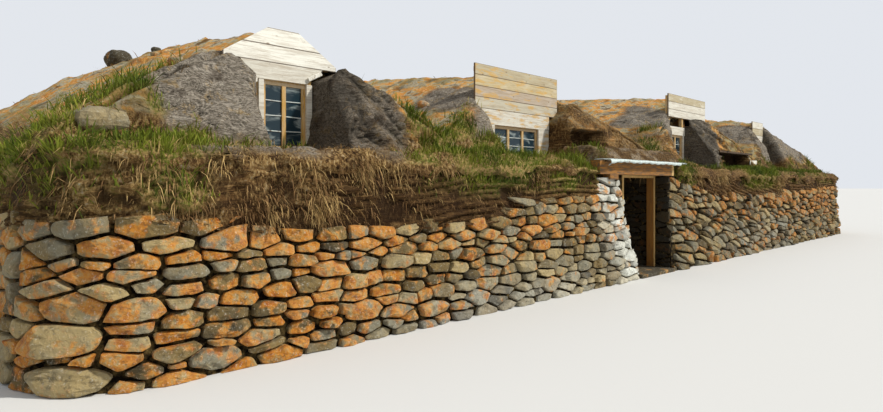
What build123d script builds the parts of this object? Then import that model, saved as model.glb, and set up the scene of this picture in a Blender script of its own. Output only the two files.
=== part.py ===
from build123d import *
import os
from math import atan2, degrees
from typing import NamedTuple

# A row of four turf-roofed sheds with dry-stone and turf walls, in millimetres.
# The origin is at ground level in the middle of the doorway, on the line of the front wall.
# X runs along the front, Y runs into the building and Z is up.

os.makedirs("parts", exist_ok=True)

# Plan of the walls
wall_left = -8800.0
wall_right = 13100.0
building_depth = 11000.0
front_wall = 1350.0
left_wall = 1000.0
right_wall = 1200.0
back_wall = 1200.0
corner_radius = 900.0

# Heights of the walls, whose top carries on from the planks over the doorway
door_height = 1680.0
passage_plank_thickness = 70.0
wall_top = door_height + passage_plank_thickness
batter = 120.0
stone_top = 1300.0
stone_top_right = 1530.0
turf_bevel = 120.0

# The stones' top along the front: sunk between places on the left, sunk again on the right
sunk_left = 1140.0
sunk_left_from = -6900.0
sunk_left_to = -3900.0
door_side_top = 1370.0
door_side_from = -3500.0
sunk_right = 1350.0
sunk_right_from = 2400.0
sunk_right_to = 6200.0

# Doorway
reveal_left = 620.0
reveal_right = 580.0
end_slope_run = 685.0
frame_front = 300.0
jamb_depth = 140.0
jamb_width = 50.0
head_height = 40.0
jamb_clearance = 20.0
threshold_height = 60.0
threshold_front = -60.0
threshold_back = 620.0
plank_gap = 10.0
passage_planks = 5
plank_bearing = 360.0

# Lintel and the corrugated sheet over the door
lintel_left = -1800.0
lintel_right = 660.0
lintel_depth = 160.0
lintel_beam_height = 104.0
lintel_joint = 2.0
pad_length = 240.0
pad_bearing = 200.0
pad_height = 80.0
canopy_left = -1720.0
canopy_right = 950.0
canopy_front = -110.0
wave_pitch = 106.8
wave_depth = 20.0
sheet_thickness = 2.5
seat_gap = 0.3
canopy_turf_height = 150.0
canopy_turf_droop = 40.0
canopy_turf_setback = 70.0

# Roofs; each rise is a height above the wall top
gable_plane = 1250.0
gable_frame_depth = 70.0
cheek_front = 450.0
cheek_waist = 850.0
cheek_waist_rise = 770.0
cheek_rise = 1400.0
valley_rise = 330.0
eaves_rise = 110.0
turf_bulge = 70.0
roof_rise = 400.0
rise_end = 5000.0
hip_start = 8300.0
hip_rise = 2200.0
hip_waist = 9850.0
hip_waist_rise = 1400.0
room_over_roofs = 3450.0
eave_setback = 80.0
turf_at_ridge = 300.0
bay_valleys = (-4500.0, 1000.0, 6600.0)

# Timber inside the roofs
rafter_height = 100.0
rafter_width = 75.0
rafter_bearing = 200.0
rafter_pairs = 7
rafter_end_gap = 5.0
ridge_joint = 1.0
ridge_beam_width = 100.0
ridge_beam_height = 180.0
valley_beam_width = 150.0
valley_beam_height = 150.0
post_width = 140.0
post_rows = 5
post_setback = 30.0
beam_end_gap = 2.0

# Joinery of the gables
board_thickness = 28.0
board_gap = 4.0
frame_bar = 70.0
sash_stile = 38.0
sash_mullion = 46.0
sash_depth = 45.0
sash_setback = 15.0
glass_thickness = 4.0
embrasure_gap = 10.0
embrasure_foot_share = 0.5
rail_share = 0.46

# Hatch in the turf between the third and fourth gables, in the third one's cheek
hatch_gable = 3
hatch_left = 4450.0
hatch_right = 6250.0
hatch_sill_rise = 60.0
hatch_head_rise = 520.0
hatch_depth = 1000.0
hatch_plank_thickness = 42.0
hatch_plank_overhang = 150.0
hatch_plank_front = 580.0
hatch_plank_back = 930.0

inner_left = wall_left + left_wall
inner_right = wall_right - right_wall
inner_back = building_depth - back_wall
frame_back = gable_plane + gable_frame_depth
beyond = 600.0
overcut = 1.0
sky = wall_top + room_over_roofs
cheek_waist_height = wall_top + cheek_waist_rise
cheek_crown = wall_top + cheek_rise
valley_foot = wall_top + valley_rise
outer_foot = wall_top + eaves_rise
hip_height = wall_top + hip_rise
hip_waist_height = wall_top + hip_waist_rise
hatch_sill = wall_top + hatch_sill_rise
hatch_head = wall_top + hatch_head_rise


class Gable(NamedTuple):
    """One window gable; left and right are offsets along X from the ridge, heights stand on
    the wall top, and flare is how far the left cheek splays for each unit of depth."""
    number: int
    ridge_x: float
    ridge_top: float
    panel_half: float
    panel_low: float
    panel_high: float
    clip_run: float
    clip_drop: float
    boards: int
    apron_low: float
    apron_high: float
    apron_foot: tuple
    apron_head: tuple
    window: tuple
    sill: float
    head: float
    lights: int
    casing: tuple
    flare: float


gable_table = (
    Gable(1, -6300.0, 1430.0, 680.0, 1090.0, 1460.0, 495.0, 320.0, 2,
          900.0, 1086.0, (-310.0, 290.0), (-500.0, 500.0),
          (-230.0, 290.0), 150.0, 890.0, 2, (60.0, 70.0), 0.5),
    Gable(2, -2170.0, 1450.0, 1030.0, 910.0, 1560.0, 0.0, 0.0, 4,
          680.0, 906.0, (-700.0, 800.0), (-910.0, 800.0),
          (-590.0, 510.0), 40.0, 670.0, 3, (100.0, 280.0), 1.1),
    Gable(3, 4080.0, 1710.0, 990.0, 1295.0, 1800.0, 0.0, 0.0, 3,
          900.0, 1085.0, (-940.0, -160.0), (-940.0, -160.0),
          (-870.0, -260.0), 340.0, 890.0, 2, (60.0, 60.0), 2.0),
    Gable(4, 8800.0, 1550.0, 430.0, 1010.0, 1580.0, 0.0, 0.0, 3,
          840.0, 1006.0, (-320.0, 320.0), (-320.0, 320.0),
          (-250.0, 250.0), 300.0, 830.0, 1, (60.0, 60.0), 1.0),
)


def from_ground(gable):
    """The same gable with its heights measured from the ground."""
    names = ("ridge_top", "panel_low", "panel_high", "apron_low", "apron_high", "sill", "head")
    return gable._replace(**{name: wall_top + getattr(gable, name) for name in names})


gables = [from_ground(gable) for gable in gable_table]


def block(x0, x1, y0, y1, z0, z1, mode=Mode.ADD):
    """Adds or cuts a block between its six limits."""
    with Locations(((x0 + x1) / 2, (y0 + y1) / 2, (z0 + z1) / 2)):
        Box(x1 - x0, y1 - y0, z1 - z0, mode=mode)


def front_prism(points, y0, y1, mode=Mode.ADD):
    """Adds or cuts an outline seen from the front, carried from one depth to another."""
    with BuildSketch(Plane.XZ.offset(-y0)) as outline:
        with BuildLine():
            Polyline(*points, close=True)
        make_face()
    extrude(outline.sketch, amount=y0 - y1, mode=mode)


def keep(part, name):
    """Labels a finished piece and writes its file."""
    part.label = name
    export_step(part, f"parts/{name}.step")


# Walls: one battered ring round the building, cut into stone below and turf above

def wall_mass(bevel):
    """Adds the battered, round-cornered mass of the walls, hollow over the floor."""
    with BuildSketch() as footprint:
        with Locations(((wall_left + wall_right) / 2, building_depth / 2)):
            RectangleRounded(wall_right - wall_left, building_depth, corner_radius)
    extrude(footprint.sketch, amount=wall_top, taper=degrees(atan2(batter, wall_top)))
    if bevel:
        chamfer(faces().sort_by(Axis.Z)[-1].edges(), length=bevel)
    block(inner_left, inner_right, front_wall, inner_back, -beyond, sky, Mode.SUBTRACT)


reach = (wall_left - beyond, wall_right + beyond)
spans = {
    "left": (reach[0], inner_left, -beyond, building_depth + beyond),
    "right": (inner_right, reach[1], -beyond, building_depth + beyond),
    "back": (inner_left, inner_right, inner_back, building_depth + beyond),
}
side_tops = {"left": stone_top, "right": stone_top_right, "back": stone_top}

for side, (x0, x1, y0, y1) in spans.items():
    with BuildPart() as side_stone_wall:
        wall_mass(0)
        block(x0, x1, y0, y1, 0, side_tops[side], Mode.INTERSECT)
    keep(side_stone_wall.part, f"{side}_stone_wall")
    with BuildPart() as side_turf_wall:
        wall_mass(turf_bevel)
        block(x0, x1, y0, y1, side_tops[side], wall_top, Mode.INTERSECT)
    keep(side_turf_wall.part, f"{side}_turf_wall")

# Front wall left of the door, whose end slopes back in front of the door frame
left_stone_line = [(inner_left, stone_top), (sunk_left_from, sunk_left),
                   (sunk_left_to, sunk_left), (door_side_from, door_side_top),
                   (-reveal_left, door_side_top)]
slope_top = -reveal_left - end_slope_run


def end_slope():
    """Cuts the sloping end of the wall beside the doorway."""
    front_prism([(-reveal_left, 0), (-reveal_left, door_height), (slope_top, door_height)],
                -beyond, frame_front, Mode.SUBTRACT)


with BuildPart() as front_stone_wall_left:
    wall_mass(0)
    front_prism([(inner_left, 0), *left_stone_line, (-reveal_left, 0)],
                -beyond, front_wall, Mode.INTERSECT)
    end_slope()
keep(front_stone_wall_left.part, "front_stone_wall_left")

plank_end = reveal_right + plank_bearing
planks_front = lintel_depth + plank_gap

with BuildPart() as front_turf_wall_left:
    wall_mass(turf_bevel)
    front_prism([*left_stone_line, (-reveal_left, sky), (inner_left, sky)],
                -beyond, front_wall, Mode.INTERSECT)
    end_slope()
    block(-reveal_left - plank_bearing, 0, planks_front - plank_gap, front_wall,
          door_height, sky, Mode.SUBTRACT)
    block(lintel_left, 0, -beyond, lintel_depth, door_height, sky, Mode.SUBTRACT)
    block(slope_top - pad_bearing, slope_top - pad_bearing + pad_length, -beyond,
          lintel_depth, door_height - pad_height, sky, Mode.SUBTRACT)
keep(front_turf_wall_left.part, "front_turf_wall_left")

# Front wall right of the door: level under the sheet, then sunk, then up to the far corner
right_stone_line = [(reveal_right, door_height), (canopy_right, door_height),
                    (sunk_right_from, sunk_right), (sunk_right_to, sunk_right),
                    (inner_right, stone_top_right)]

with BuildPart() as front_stone_wall_right:
    wall_mass(0)
    front_prism([(reveal_right, 0), *right_stone_line, (inner_right, 0)],
                -beyond, front_wall, Mode.INTERSECT)
keep(front_stone_wall_right.part, "front_stone_wall_right")

with BuildPart() as front_turf_wall_right:
    wall_mass(turf_bevel)
    front_prism([*right_stone_line[1:], (inner_right, sky), (canopy_right, sky)],
                -beyond, front_wall, Mode.INTERSECT)
keep(front_turf_wall_right.part, "front_turf_wall_right")

# Doorway

with BuildPart() as threshold:
    block(-reveal_left + jamb_clearance, reveal_right - jamb_clearance / 2,
          threshold_front, threshold_back, 0, threshold_height)
    fillet(edges().filter_by(Axis.X).group_by(Axis.Z)[-1], radius=threshold_height / 4)
keep(threshold.part, "threshold")

jamb_left = -reveal_left + jamb_clearance
jamb_right = reveal_right - jamb_clearance / 2

with BuildPart() as door_frame:
    with BuildSketch(Plane.XZ.offset(-frame_front)):
        with BuildLine():
            Polyline((jamb_left, threshold_height), (jamb_left, door_height),
                     (jamb_right, door_height), (jamb_right, threshold_height),
                     (jamb_right - jamb_width, threshold_height),
                     (jamb_right - jamb_width, door_height - head_height),
                     (jamb_left + jamb_width, door_height - head_height),
                     (jamb_left + jamb_width, threshold_height), close=True)
        make_face()
    extrude(amount=-jamb_depth)
    chamfer(edges().filter_by(Axis.Z).group_by(Axis.Y)[0], length=jamb_width / 10)
keep(door_frame.part, "door_frame")

# The planks that roof the passage lie side by side from wall to wall
plank_run = front_wall - planks_front
plank_width = (plank_run - (passage_planks - 1) * plank_gap) / passage_planks

with BuildPart() as passage_roof:
    for row in range(passage_planks):
        start = planks_front + row * (plank_width + plank_gap)
        block(-reveal_left - plank_bearing, plank_end, start, start + plank_width,
              door_height, wall_top)
keep(passage_roof.part, "passage_roof")

# Two stacked beams over the door, with a packing piece under their left end
lintel_top = door_height + 2 * lintel_beam_height
pad_left = slope_top - pad_bearing

with BuildPart() as door_lintel:
    block(lintel_left, lintel_right, 0, lintel_depth, door_height,
          door_height + 2 * lintel_beam_height)
    groove = door_height + lintel_beam_height
    block(lintel_left - overcut, lintel_right + overcut, -overcut, lintel_beam_height / 10,
          groove - lintel_joint, groove + lintel_joint, Mode.SUBTRACT)
    block(pad_left, pad_left + pad_length, 0, lintel_depth, door_height - pad_height, door_height)
keep(door_lintel.part, "door_lintel")

# Corrugated sheet: half waves of arcs, thickened straight up, carried from front to back
wave_count = int((canopy_right - canopy_left) // wave_pitch)
sheet_right = canopy_left + wave_count * wave_pitch
canopy_bottom = lintel_top + seat_gap
canopy_back = cheek_front - seat_gap


def wave_points(z):
    """Crest, trough and crossing points of the corrugation whose troughs lie at height z."""
    quarter = wave_pitch / 4
    heights = (wave_depth / 2, wave_depth, wave_depth / 2, 0.0)
    return [(canopy_left + quarter * step, z + heights[step % 4])
            for step in range(4 * wave_count + 1)]


with BuildPart() as door_canopy:
    with BuildSketch(Plane.XZ.offset(-canopy_front)):
        with BuildLine():
            lower = wave_points(canopy_bottom)
            upper = wave_points(canopy_bottom + sheet_thickness)
            for line in (lower, upper):
                for start in range(0, len(line) - 2, 2):
                    ThreePointArc(*line[start:start + 3])
            Line(lower[0], upper[0])
            Line(lower[-1], upper[-1])
        make_face()
    extrude(amount=canopy_front - canopy_back)
keep(door_canopy.part, "door_canopy")

# Turf packed under the sheet behind the lintel, and heaped on the sheet
sheet_top = canopy_bottom + wave_depth + sheet_thickness + seat_gap
turf_front = canopy_front + canopy_turf_setback

with BuildPart() as canopy_turf:
    block(lintel_left, sheet_right, lintel_depth, cheek_front, wall_top, lintel_top)
    with BuildSketch(Plane.YZ.offset(canopy_left + canopy_turf_setback)):
        with BuildLine():
            crest = sheet_top + canopy_turf_height
            Polyline((turf_front, sheet_top), (cheek_front, sheet_top), (cheek_front, crest))
            shoulder = (turf_front + canopy_turf_height, crest - canopy_turf_droop)
            ThreePointArc((cheek_front, crest), shoulder, (turf_front, sheet_top))
        make_face()
    extrude(amount=sheet_right - canopy_left - 2 * canopy_turf_setback)
keep(canopy_turf.part, "canopy_turf")

# Roofs


class Bay(NamedTuple):
    """The roof over one gable: its edges, ridge, and where its rafters bear."""
    gable: Gable
    left: float
    right: float
    foot_left: float
    foot_right: float
    bearing_left: float
    bearing_right: float


def make_bay(gable):
    """Works out a bay's edges: a valley between bays, the eaves at the ends."""
    edges_x = (wall_left + batter + eave_setback, *bay_valleys, wall_right - batter - eave_setback)
    left = edges_x[gable.number - 1]
    right = edges_x[gable.number]
    first = gable.number == 1
    last = gable.number == len(gables)
    return Bay(gable, left, right,
               outer_foot if first else valley_foot,
               outer_foot if last else valley_foot,
               inner_left - rafter_bearing if first else left,
               inner_right + rafter_bearing if last else right)


bays = [make_bay(gable) for gable in gables]


def turf_section(bay, y, lift):
    """The mound's section at one depth: two bulging slopes over a deep straight body."""
    ridge = (bay.gable.ridge_x, bay.gable.ridge_top + lift)
    feet = ((bay.left, bay.foot_left + lift), (bay.right, bay.foot_right + lift))
    below = wall_top - roof_rise - beyond
    with BuildSketch(Plane.XZ.offset(-y)) as section:
        with BuildLine():
            for foot in feet:
                middle = ((foot[0] + ridge[0]) / 2, (foot[1] + ridge[1]) / 2 + turf_bulge)
                ThreePointArc(foot, middle, ridge)
            Polyline(feet[0], (bay.left, below), (bay.right, below), feet[1])
        make_face()
    return section.sketch


def room_outline(bay):
    """The open space under the rafters' upper faces, seen from the front."""
    apex = bay.gable.ridge_top - turf_at_ridge
    eaves = wall_top + rafter_height
    return [(bay.bearing_left, wall_top), (bay.bearing_left, eaves), (bay.gable.ridge_x, apex),
            (bay.bearing_right, eaves), (bay.bearing_right, wall_top)]


def embrasure_outline(gable, splay):
    """The gap in the turf that shows the window, its casings, the apron and the panel, with its
    left side moved out by the splay, and by less at its foot."""
    x = gable.ridge_x
    gap = embrasure_gap
    window_left = x + gable.window[0] - gable.casing[0] - gap
    window_right = x + gable.window[1] + gable.casing[1] + gap
    foot_left = min(window_left, x + gable.apron_foot[0] - gap)
    foot_right = max(window_right, x + gable.apron_foot[1] + gap)
    return [(foot_left - splay * embrasure_foot_share, wall_top),
            (foot_left - splay, gable.apron_low),
            (x + gable.apron_head[0] - gap - splay, gable.panel_low - gap),
            (x - gable.panel_half - gap - splay, gable.panel_low - gap),
            (x - gable.panel_half - gap - splay, sky), (x + gable.panel_half + gap, sky),
            (x + gable.panel_half + gap, gable.panel_low - gap),
            (x + gable.apron_head[1] + gap, gable.panel_low - gap),
            (foot_right, gable.apron_low), (foot_right, wall_top)]


def embrasure_cut(gable):
    """Cuts the embrasure: straight at the gable, and splayed to its left in front of it."""
    front_prism(embrasure_outline(gable, 0.0), gable_plane, frame_back, Mode.SUBTRACT)
    outlines = []
    for y in (gable_plane, cheek_front - overcut):
        outline = embrasure_outline(gable, gable.flare * (gable_plane - y))
        outlines.append(Wire.make_polygon([(x, y, z) for x, z in outline]))
    add(Solid.make_loft(outlines, ruled=True), mode=Mode.SUBTRACT)


def hip_cut():
    """Cuts the mound to a rounded slope that comes down on the back wall."""
    back_foot = building_depth - batter - eave_setback
    with BuildSketch(Plane.YZ.offset(wall_left - beyond)) as outline:
        with BuildLine():
            ThreePointArc((hip_start, hip_height), (hip_waist, hip_waist_height),
                          (back_foot, outer_foot))
            Polyline((back_foot, outer_foot), (back_foot, wall_top - beyond),
                     (building_depth + beyond, wall_top - beyond), (building_depth + beyond, sky),
                     (hip_start, sky), (hip_start, hip_height))
        make_face()
    extrude(outline.sketch, amount=wall_right - wall_left + 2 * beyond, mode=Mode.SUBTRACT)


for bay in bays:
    gable = bay.gable
    halves = {"left": (bay.left, gable.ridge_x), "right": (gable.ridge_x, bay.right)}
    for side, (x0, x1) in halves.items():
        with BuildPart() as roof_turf:
            run = rise_end - gable_plane
            extrude(turf_section(bay, gable_plane, 0.0), dir=(0, run, roof_rise),
                    amount=(run ** 2 + roof_rise ** 2) ** 0.5)
            extrude(turf_section(bay, rise_end, roof_rise), amount=rise_end - building_depth)
            block(x0, x1, frame_back, building_depth, wall_top, sky, Mode.INTERSECT)
            front_prism(room_outline(bay), frame_back, inner_back, Mode.SUBTRACT)
            hip_cut()
        keep(roof_turf.part, f"roof_turf_{gable.number}_{side}")

    with BuildPart() as turf_cheeks:
        extrude(turf_section(bay, frame_back, 0.0), amount=frame_back - cheek_front)
        with BuildSketch(Plane.YZ.offset(wall_left - beyond)):
            with BuildLine():
                ThreePointArc((cheek_front, wall_top), (cheek_waist, cheek_waist_height),
                              (gable_plane, cheek_crown))
                Polyline((gable_plane, cheek_crown), (frame_back, cheek_crown),
                         (frame_back, wall_top), (cheek_front, wall_top))
            make_face()
        extrude(amount=wall_right - wall_left + 2 * beyond, mode=Mode.INTERSECT)
        embrasure_cut(gable)
        if gable.number == hatch_gable:
            block(hatch_left, hatch_right, cheek_front - beyond, hatch_depth,
                  hatch_sill, hatch_head, Mode.SUBTRACT)
            block(hatch_left - hatch_plank_overhang, hatch_right + hatch_plank_overhang,
                  cheek_front - beyond, hatch_plank_back,
                  hatch_head, hatch_head + hatch_plank_thickness, Mode.SUBTRACT)
    keep(turf_cheeks.part, f"turf_cheeks_{gable.number}")

with BuildPart() as hatch_plank:
    block(hatch_left - hatch_plank_overhang, hatch_right + hatch_plank_overhang,
          hatch_plank_front, hatch_plank_back, hatch_head, hatch_head + hatch_plank_thickness)
keep(hatch_plank.part, "hatch_plank")

# Roof timber


def rafter_outlines(bay):
    """The left and the right rafter of a pair, seen from the front, just apart at the ridge."""
    foot_left, eaves_left, apex, eaves_right, foot_right = room_outline(bay)
    outlines = []
    for foot, eaves, inward in ((foot_left, eaves_left, 1), (foot_right, eaves_right, -1)):
        in_step = inward * rafter_end_gap
        top = apex[0] - inward * ridge_joint
        outlines.append([(foot[0] + in_step, foot[1]), (eaves[0] + in_step, eaves[1]),
                         (top, under_turf(bay, top)), (top, under_turf(bay, top) - rafter_height)])
    return outlines


def under_turf(bay, x):
    """Height of the turf's lower face, which the rafters carry, at a place along the front."""
    _, eaves_left, apex, eaves_right, _ = room_outline(bay)
    eaves = eaves_left if x < apex[0] else eaves_right
    return eaves[1] + (x - eaves[0]) / (apex[0] - eaves[0]) * (apex[1] - eaves[1])


with BuildPart() as rafters:
    pitch = (inner_back - frame_back - rafter_width) / (rafter_pairs + 1)
    for bay in bays:
        for row in range(rafter_pairs):
            start = frame_back + (row + 1) * pitch
            for outline in rafter_outlines(bay):
                front_prism(outline, start, start + rafter_width)
keep(rafters.part, "rafters")

with BuildPart() as ridge_beams:
    for bay in bays:
        ridge_x, apex = room_outline(bay)[2]
        left = ridge_x - ridge_beam_width / 2
        right = ridge_x + ridge_beam_width / 2
        drop = rafter_height + seat_gap
        foot = apex - drop - ridge_beam_height
        front_prism([(left, foot), (right, foot), (right, under_turf(bay, right) - drop),
                     (ridge_x, apex - drop), (left, under_turf(bay, left) - drop)],
                    frame_back, inner_back)
keep(ridge_beams.part, "ridge_beams")

with BuildPart() as valley_beams:
    for x in bay_valleys:
        block(x - valley_beam_width / 2, x + valley_beam_width / 2,
              front_wall + beam_end_gap, inner_back - beam_end_gap,
              wall_top - valley_beam_height, wall_top)
keep(valley_beams.part, "valley_beams")

with BuildPart() as valley_posts:
    first = front_wall + post_setback
    pitch = (inner_back - post_setback - post_width - first) / (post_rows - 1)
    for x in bay_valleys:
        for row in range(post_rows):
            block(x - post_width / 2, x + post_width / 2, first + row * pitch,
                  first + row * pitch + post_width, 0, wall_top - valley_beam_height)
keep(valley_posts.part, "valley_posts")

# Gables


def panel_outline(gable):
    """The board panel's outline, with its upper corners clipped where the gable has them so."""
    x = gable.ridge_x
    half = gable.panel_half
    shoulder = gable.panel_high - gable.clip_drop
    outline = [(x - half, gable.panel_low), (x + half, gable.panel_low), (x + half, shoulder)]
    if gable.clip_drop:
        outline += [(x + half - gable.clip_run, gable.panel_high),
                    (x - half + gable.clip_run, gable.panel_high)]
    else:
        outline += [(x - half, gable.panel_high)]
    if gable.clip_drop:
        outline += [(x - half, shoulder)]
    return outline


def frame_top(gable):
    """The top of the framing, kept below the panel's clipped corners."""
    return gable.panel_high - (gable.clip_drop or frame_bar) * rail_share


def gable_framing(gable):
    """Sill, posts, header and two rails that carry the window and the boards."""
    x = gable.ridge_x
    left, right = (x + side for side in gable.window)
    low, high = gable_plane, frame_back
    post_low = wall_top
    block(left - frame_bar, left, low, high, post_low, frame_top(gable))
    block(right, right + frame_bar, low, high, post_low, frame_top(gable))
    block(left, right, low, high, wall_top, gable.sill)
    block(left, right, low, high, gable.head, gable.head + frame_bar)
    rail = gable.panel_half - frame_bar
    block(x - rail, x + rail, low, high, gable.panel_low, gable.panel_low + frame_bar)
    upper = min(rail, gable.panel_half - gable.clip_run * (1 - rail_share))
    block(x - upper, x + upper, low, high, frame_top(gable) - frame_bar, frame_top(gable))


def sash_lights(gable):
    """Left and right edges of each light between the stiles and mullions."""
    left, right = (gable.ridge_x + side for side in gable.window)
    clear = right - left - 2 * sash_stile - (gable.lights - 1) * sash_mullion
    width = clear / gable.lights
    starts = (left + sash_stile + light * (width + sash_mullion) for light in range(gable.lights))
    return [(start, start + width) for start in starts]


sash_front = gable_plane + sash_setback
glass_front = sash_front + (sash_depth - glass_thickness) / 2

for gable in gables:
    x = gable.ridge_x
    with BuildPart() as gable_frame:
        gable_framing(gable)
    keep(gable_frame.part, f"gable_frame_{gable.number}")

    with BuildPart() as gable_boards:
        front = gable_plane - board_thickness
        front_prism(panel_outline(gable), front, gable_plane)
        board = (gable.panel_high - gable.panel_low) / gable.boards
        for joint in range(1, gable.boards):
            z = gable.panel_low + joint * board
            block(x - gable.panel_half - overcut, x + gable.panel_half + overcut,
                  front - overcut, gable_plane + overcut,
                  z - board_gap / 2, z + board_gap / 2, Mode.SUBTRACT)
        front_prism([(x + gable.apron_foot[0], gable.apron_low),
                     (x + gable.apron_foot[1], gable.apron_low),
                     (x + gable.apron_head[1], gable.apron_high),
                     (x + gable.apron_head[0], gable.apron_high)], front, gable_plane)
        casing_high = gable.apron_low - board_gap
        window_left, window_right = (x + side for side in gable.window)
        block(window_left - gable.casing[0], window_left, front, gable_plane,
              wall_top, casing_high)
        block(window_right, window_right + gable.casing[1], front, gable_plane,
              wall_top, casing_high)
    keep(gable_boards.part, f"gable_boards_{gable.number}")

    with BuildPart() as window_sash:
        block(window_left, window_right, sash_front, sash_front + sash_depth,
              gable.sill, gable.head)
        for left, right in sash_lights(gable):
            block(left, right, sash_front - overcut, sash_front + sash_depth + overcut,
                  gable.sill + sash_stile, gable.head - sash_stile, Mode.SUBTRACT)
    keep(window_sash.part, f"window_sash_{gable.number}")

with BuildPart() as window_glass:
    for gable in gables:
        for left, right in sash_lights(gable):
            block(left, right, glass_front, glass_front + glass_thickness,
                  gable.sill + sash_stile, gable.head - sash_stile)
keep(window_glass.part, "window_glass")
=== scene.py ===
"""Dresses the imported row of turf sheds: rubble stones, turf, netting, growth, timber and glass."""

import math
from typing import NamedTuple

import bpy
import numpy as np
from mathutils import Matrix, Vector


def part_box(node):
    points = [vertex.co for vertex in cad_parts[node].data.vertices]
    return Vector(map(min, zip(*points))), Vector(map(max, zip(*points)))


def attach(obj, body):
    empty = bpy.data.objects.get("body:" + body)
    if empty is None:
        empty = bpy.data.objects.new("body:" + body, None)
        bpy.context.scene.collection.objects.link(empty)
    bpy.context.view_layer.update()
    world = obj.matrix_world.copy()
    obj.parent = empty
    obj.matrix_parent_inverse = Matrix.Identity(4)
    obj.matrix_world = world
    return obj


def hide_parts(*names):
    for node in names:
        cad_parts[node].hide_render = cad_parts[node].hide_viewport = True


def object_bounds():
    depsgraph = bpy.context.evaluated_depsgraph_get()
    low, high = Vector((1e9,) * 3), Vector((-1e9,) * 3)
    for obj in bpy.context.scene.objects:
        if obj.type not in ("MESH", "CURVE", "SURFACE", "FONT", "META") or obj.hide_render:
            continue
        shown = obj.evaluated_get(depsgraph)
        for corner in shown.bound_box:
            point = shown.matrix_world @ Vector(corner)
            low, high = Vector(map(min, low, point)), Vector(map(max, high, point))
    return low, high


bl_info = {
    "name": "Turf House",
    "version": (1, 0, 0),
    "blender": (4, 5, 0),
    "location": "View3D > Sidebar > Turf House",
    "description": "Builds the stones, turf, growth and joinery finishes of a row of turf sheds",
    "category": "Add Mesh",
}

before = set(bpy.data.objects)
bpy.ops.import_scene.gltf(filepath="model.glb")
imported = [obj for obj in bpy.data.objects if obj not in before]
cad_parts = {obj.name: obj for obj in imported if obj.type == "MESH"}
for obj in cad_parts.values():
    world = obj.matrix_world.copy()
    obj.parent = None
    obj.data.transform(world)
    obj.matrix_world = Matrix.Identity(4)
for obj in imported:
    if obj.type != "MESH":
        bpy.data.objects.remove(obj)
CAD_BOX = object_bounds()


def sight(red, green, blue):
    """A colour as it is seen, from 0 to 255 a channel, turned into the linear light that shaders use."""
    return tuple((value / 255) ** 2.2 for value in (red, green, blue))


def colour_setting(name, description, seen):
    """A colour property whose default is given as it is seen."""
    return bpy.props.FloatVectorProperty(name=name, description=description, subtype="COLOR",
                                         size=3, min=0, max=1, default=sight(*seen))


def number_setting(name, description, default, **limits):
    """A plain number property."""
    return bpy.props.FloatProperty(name=name, description=description, default=default, **limits)


def length_setting(name, description, metres):
    """A length property in metres."""
    return number_setting(name, description, metres, unit="LENGTH", subtype="DISTANCE")


# What the frame says about the walls, the gables and the doorway

FRONT_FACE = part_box("front_stone_wall_left")[0].y
WALL_LEFT, WALL_RIGHT = CAD_BOX[0].x, CAD_BOX[1].x
WALL_BACK = CAD_BOX[1].y
WALL_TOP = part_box("front_turf_wall_left")[1].z
STONE_TOP_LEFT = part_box("left_stone_wall")[1].z
STONE_TOP_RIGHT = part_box("right_stone_wall")[1].z
DOOR_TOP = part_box("front_stone_wall_right")[1].z
REVEAL_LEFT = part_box("front_stone_wall_left")[1].x
REVEAL_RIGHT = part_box("front_stone_wall_right")[0].x
FRONT_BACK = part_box("front_stone_wall_left")[1].y
GABLE_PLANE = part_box("gable_frame_1")[0].y
ROOF_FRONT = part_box("roof_turf_1_left")[0].y

# Middle of the plan, away from which the turf and the grass face
HOUSE_MIDDLE = np.array([2.15, 5.5, 0.0])

# Depths up to which patterns of the front's cut face reach: most of them, and hanging green
FACE_DEPTH, HANGING_DEPTH = 1.5, 2.5


class Gable(NamedTuple):
    """One window gable, in metres: its ridge, its board panel, and the gap in the turf round it."""
    number: int
    ridge_x: float
    ridge_top: float
    panel: tuple
    panel_low: float
    apron_low: float
    foot: tuple
    head: tuple
    sill: float
    flare: float


# Panel foot, apron foot, gap at the window and gap at the apron head (the two from the ridge),
# and how far the left cheek splays for each metre of depth
GABLE_GAPS = {
    1: (2.84, 2.65, (-0.32, 0.37), (-0.51, 0.51), 0.5),
    2: (2.66, 2.43, (-0.71, 0.81), (-0.92, 0.81), 1.1),
    3: (3.045, 2.65, (-0.95, -0.15), (-0.95, -0.15), 2.0),
    4: (2.76, 2.59, (-0.33, 0.33), (-0.33, 0.33), 1.0),
}


def read_gable(number, rise):
    """Reads one gable's place from the frame; rise is how far the ridge climbs behind it."""
    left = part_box(f"roof_turf_{number}_left")
    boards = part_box(f"gable_boards_{number}")
    panel_low, apron_low, foot, head, flare = GABLE_GAPS[number]
    ridge = left[1].x
    return Gable(number, ridge, left[1].z - rise, (boards[0].x, boards[1].x), panel_low, apron_low,
                 tuple(ridge + side for side in foot), tuple(ridge + side for side in head),
                 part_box(f"window_sash_{number}")[0].z, flare)


# Settings

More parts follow.
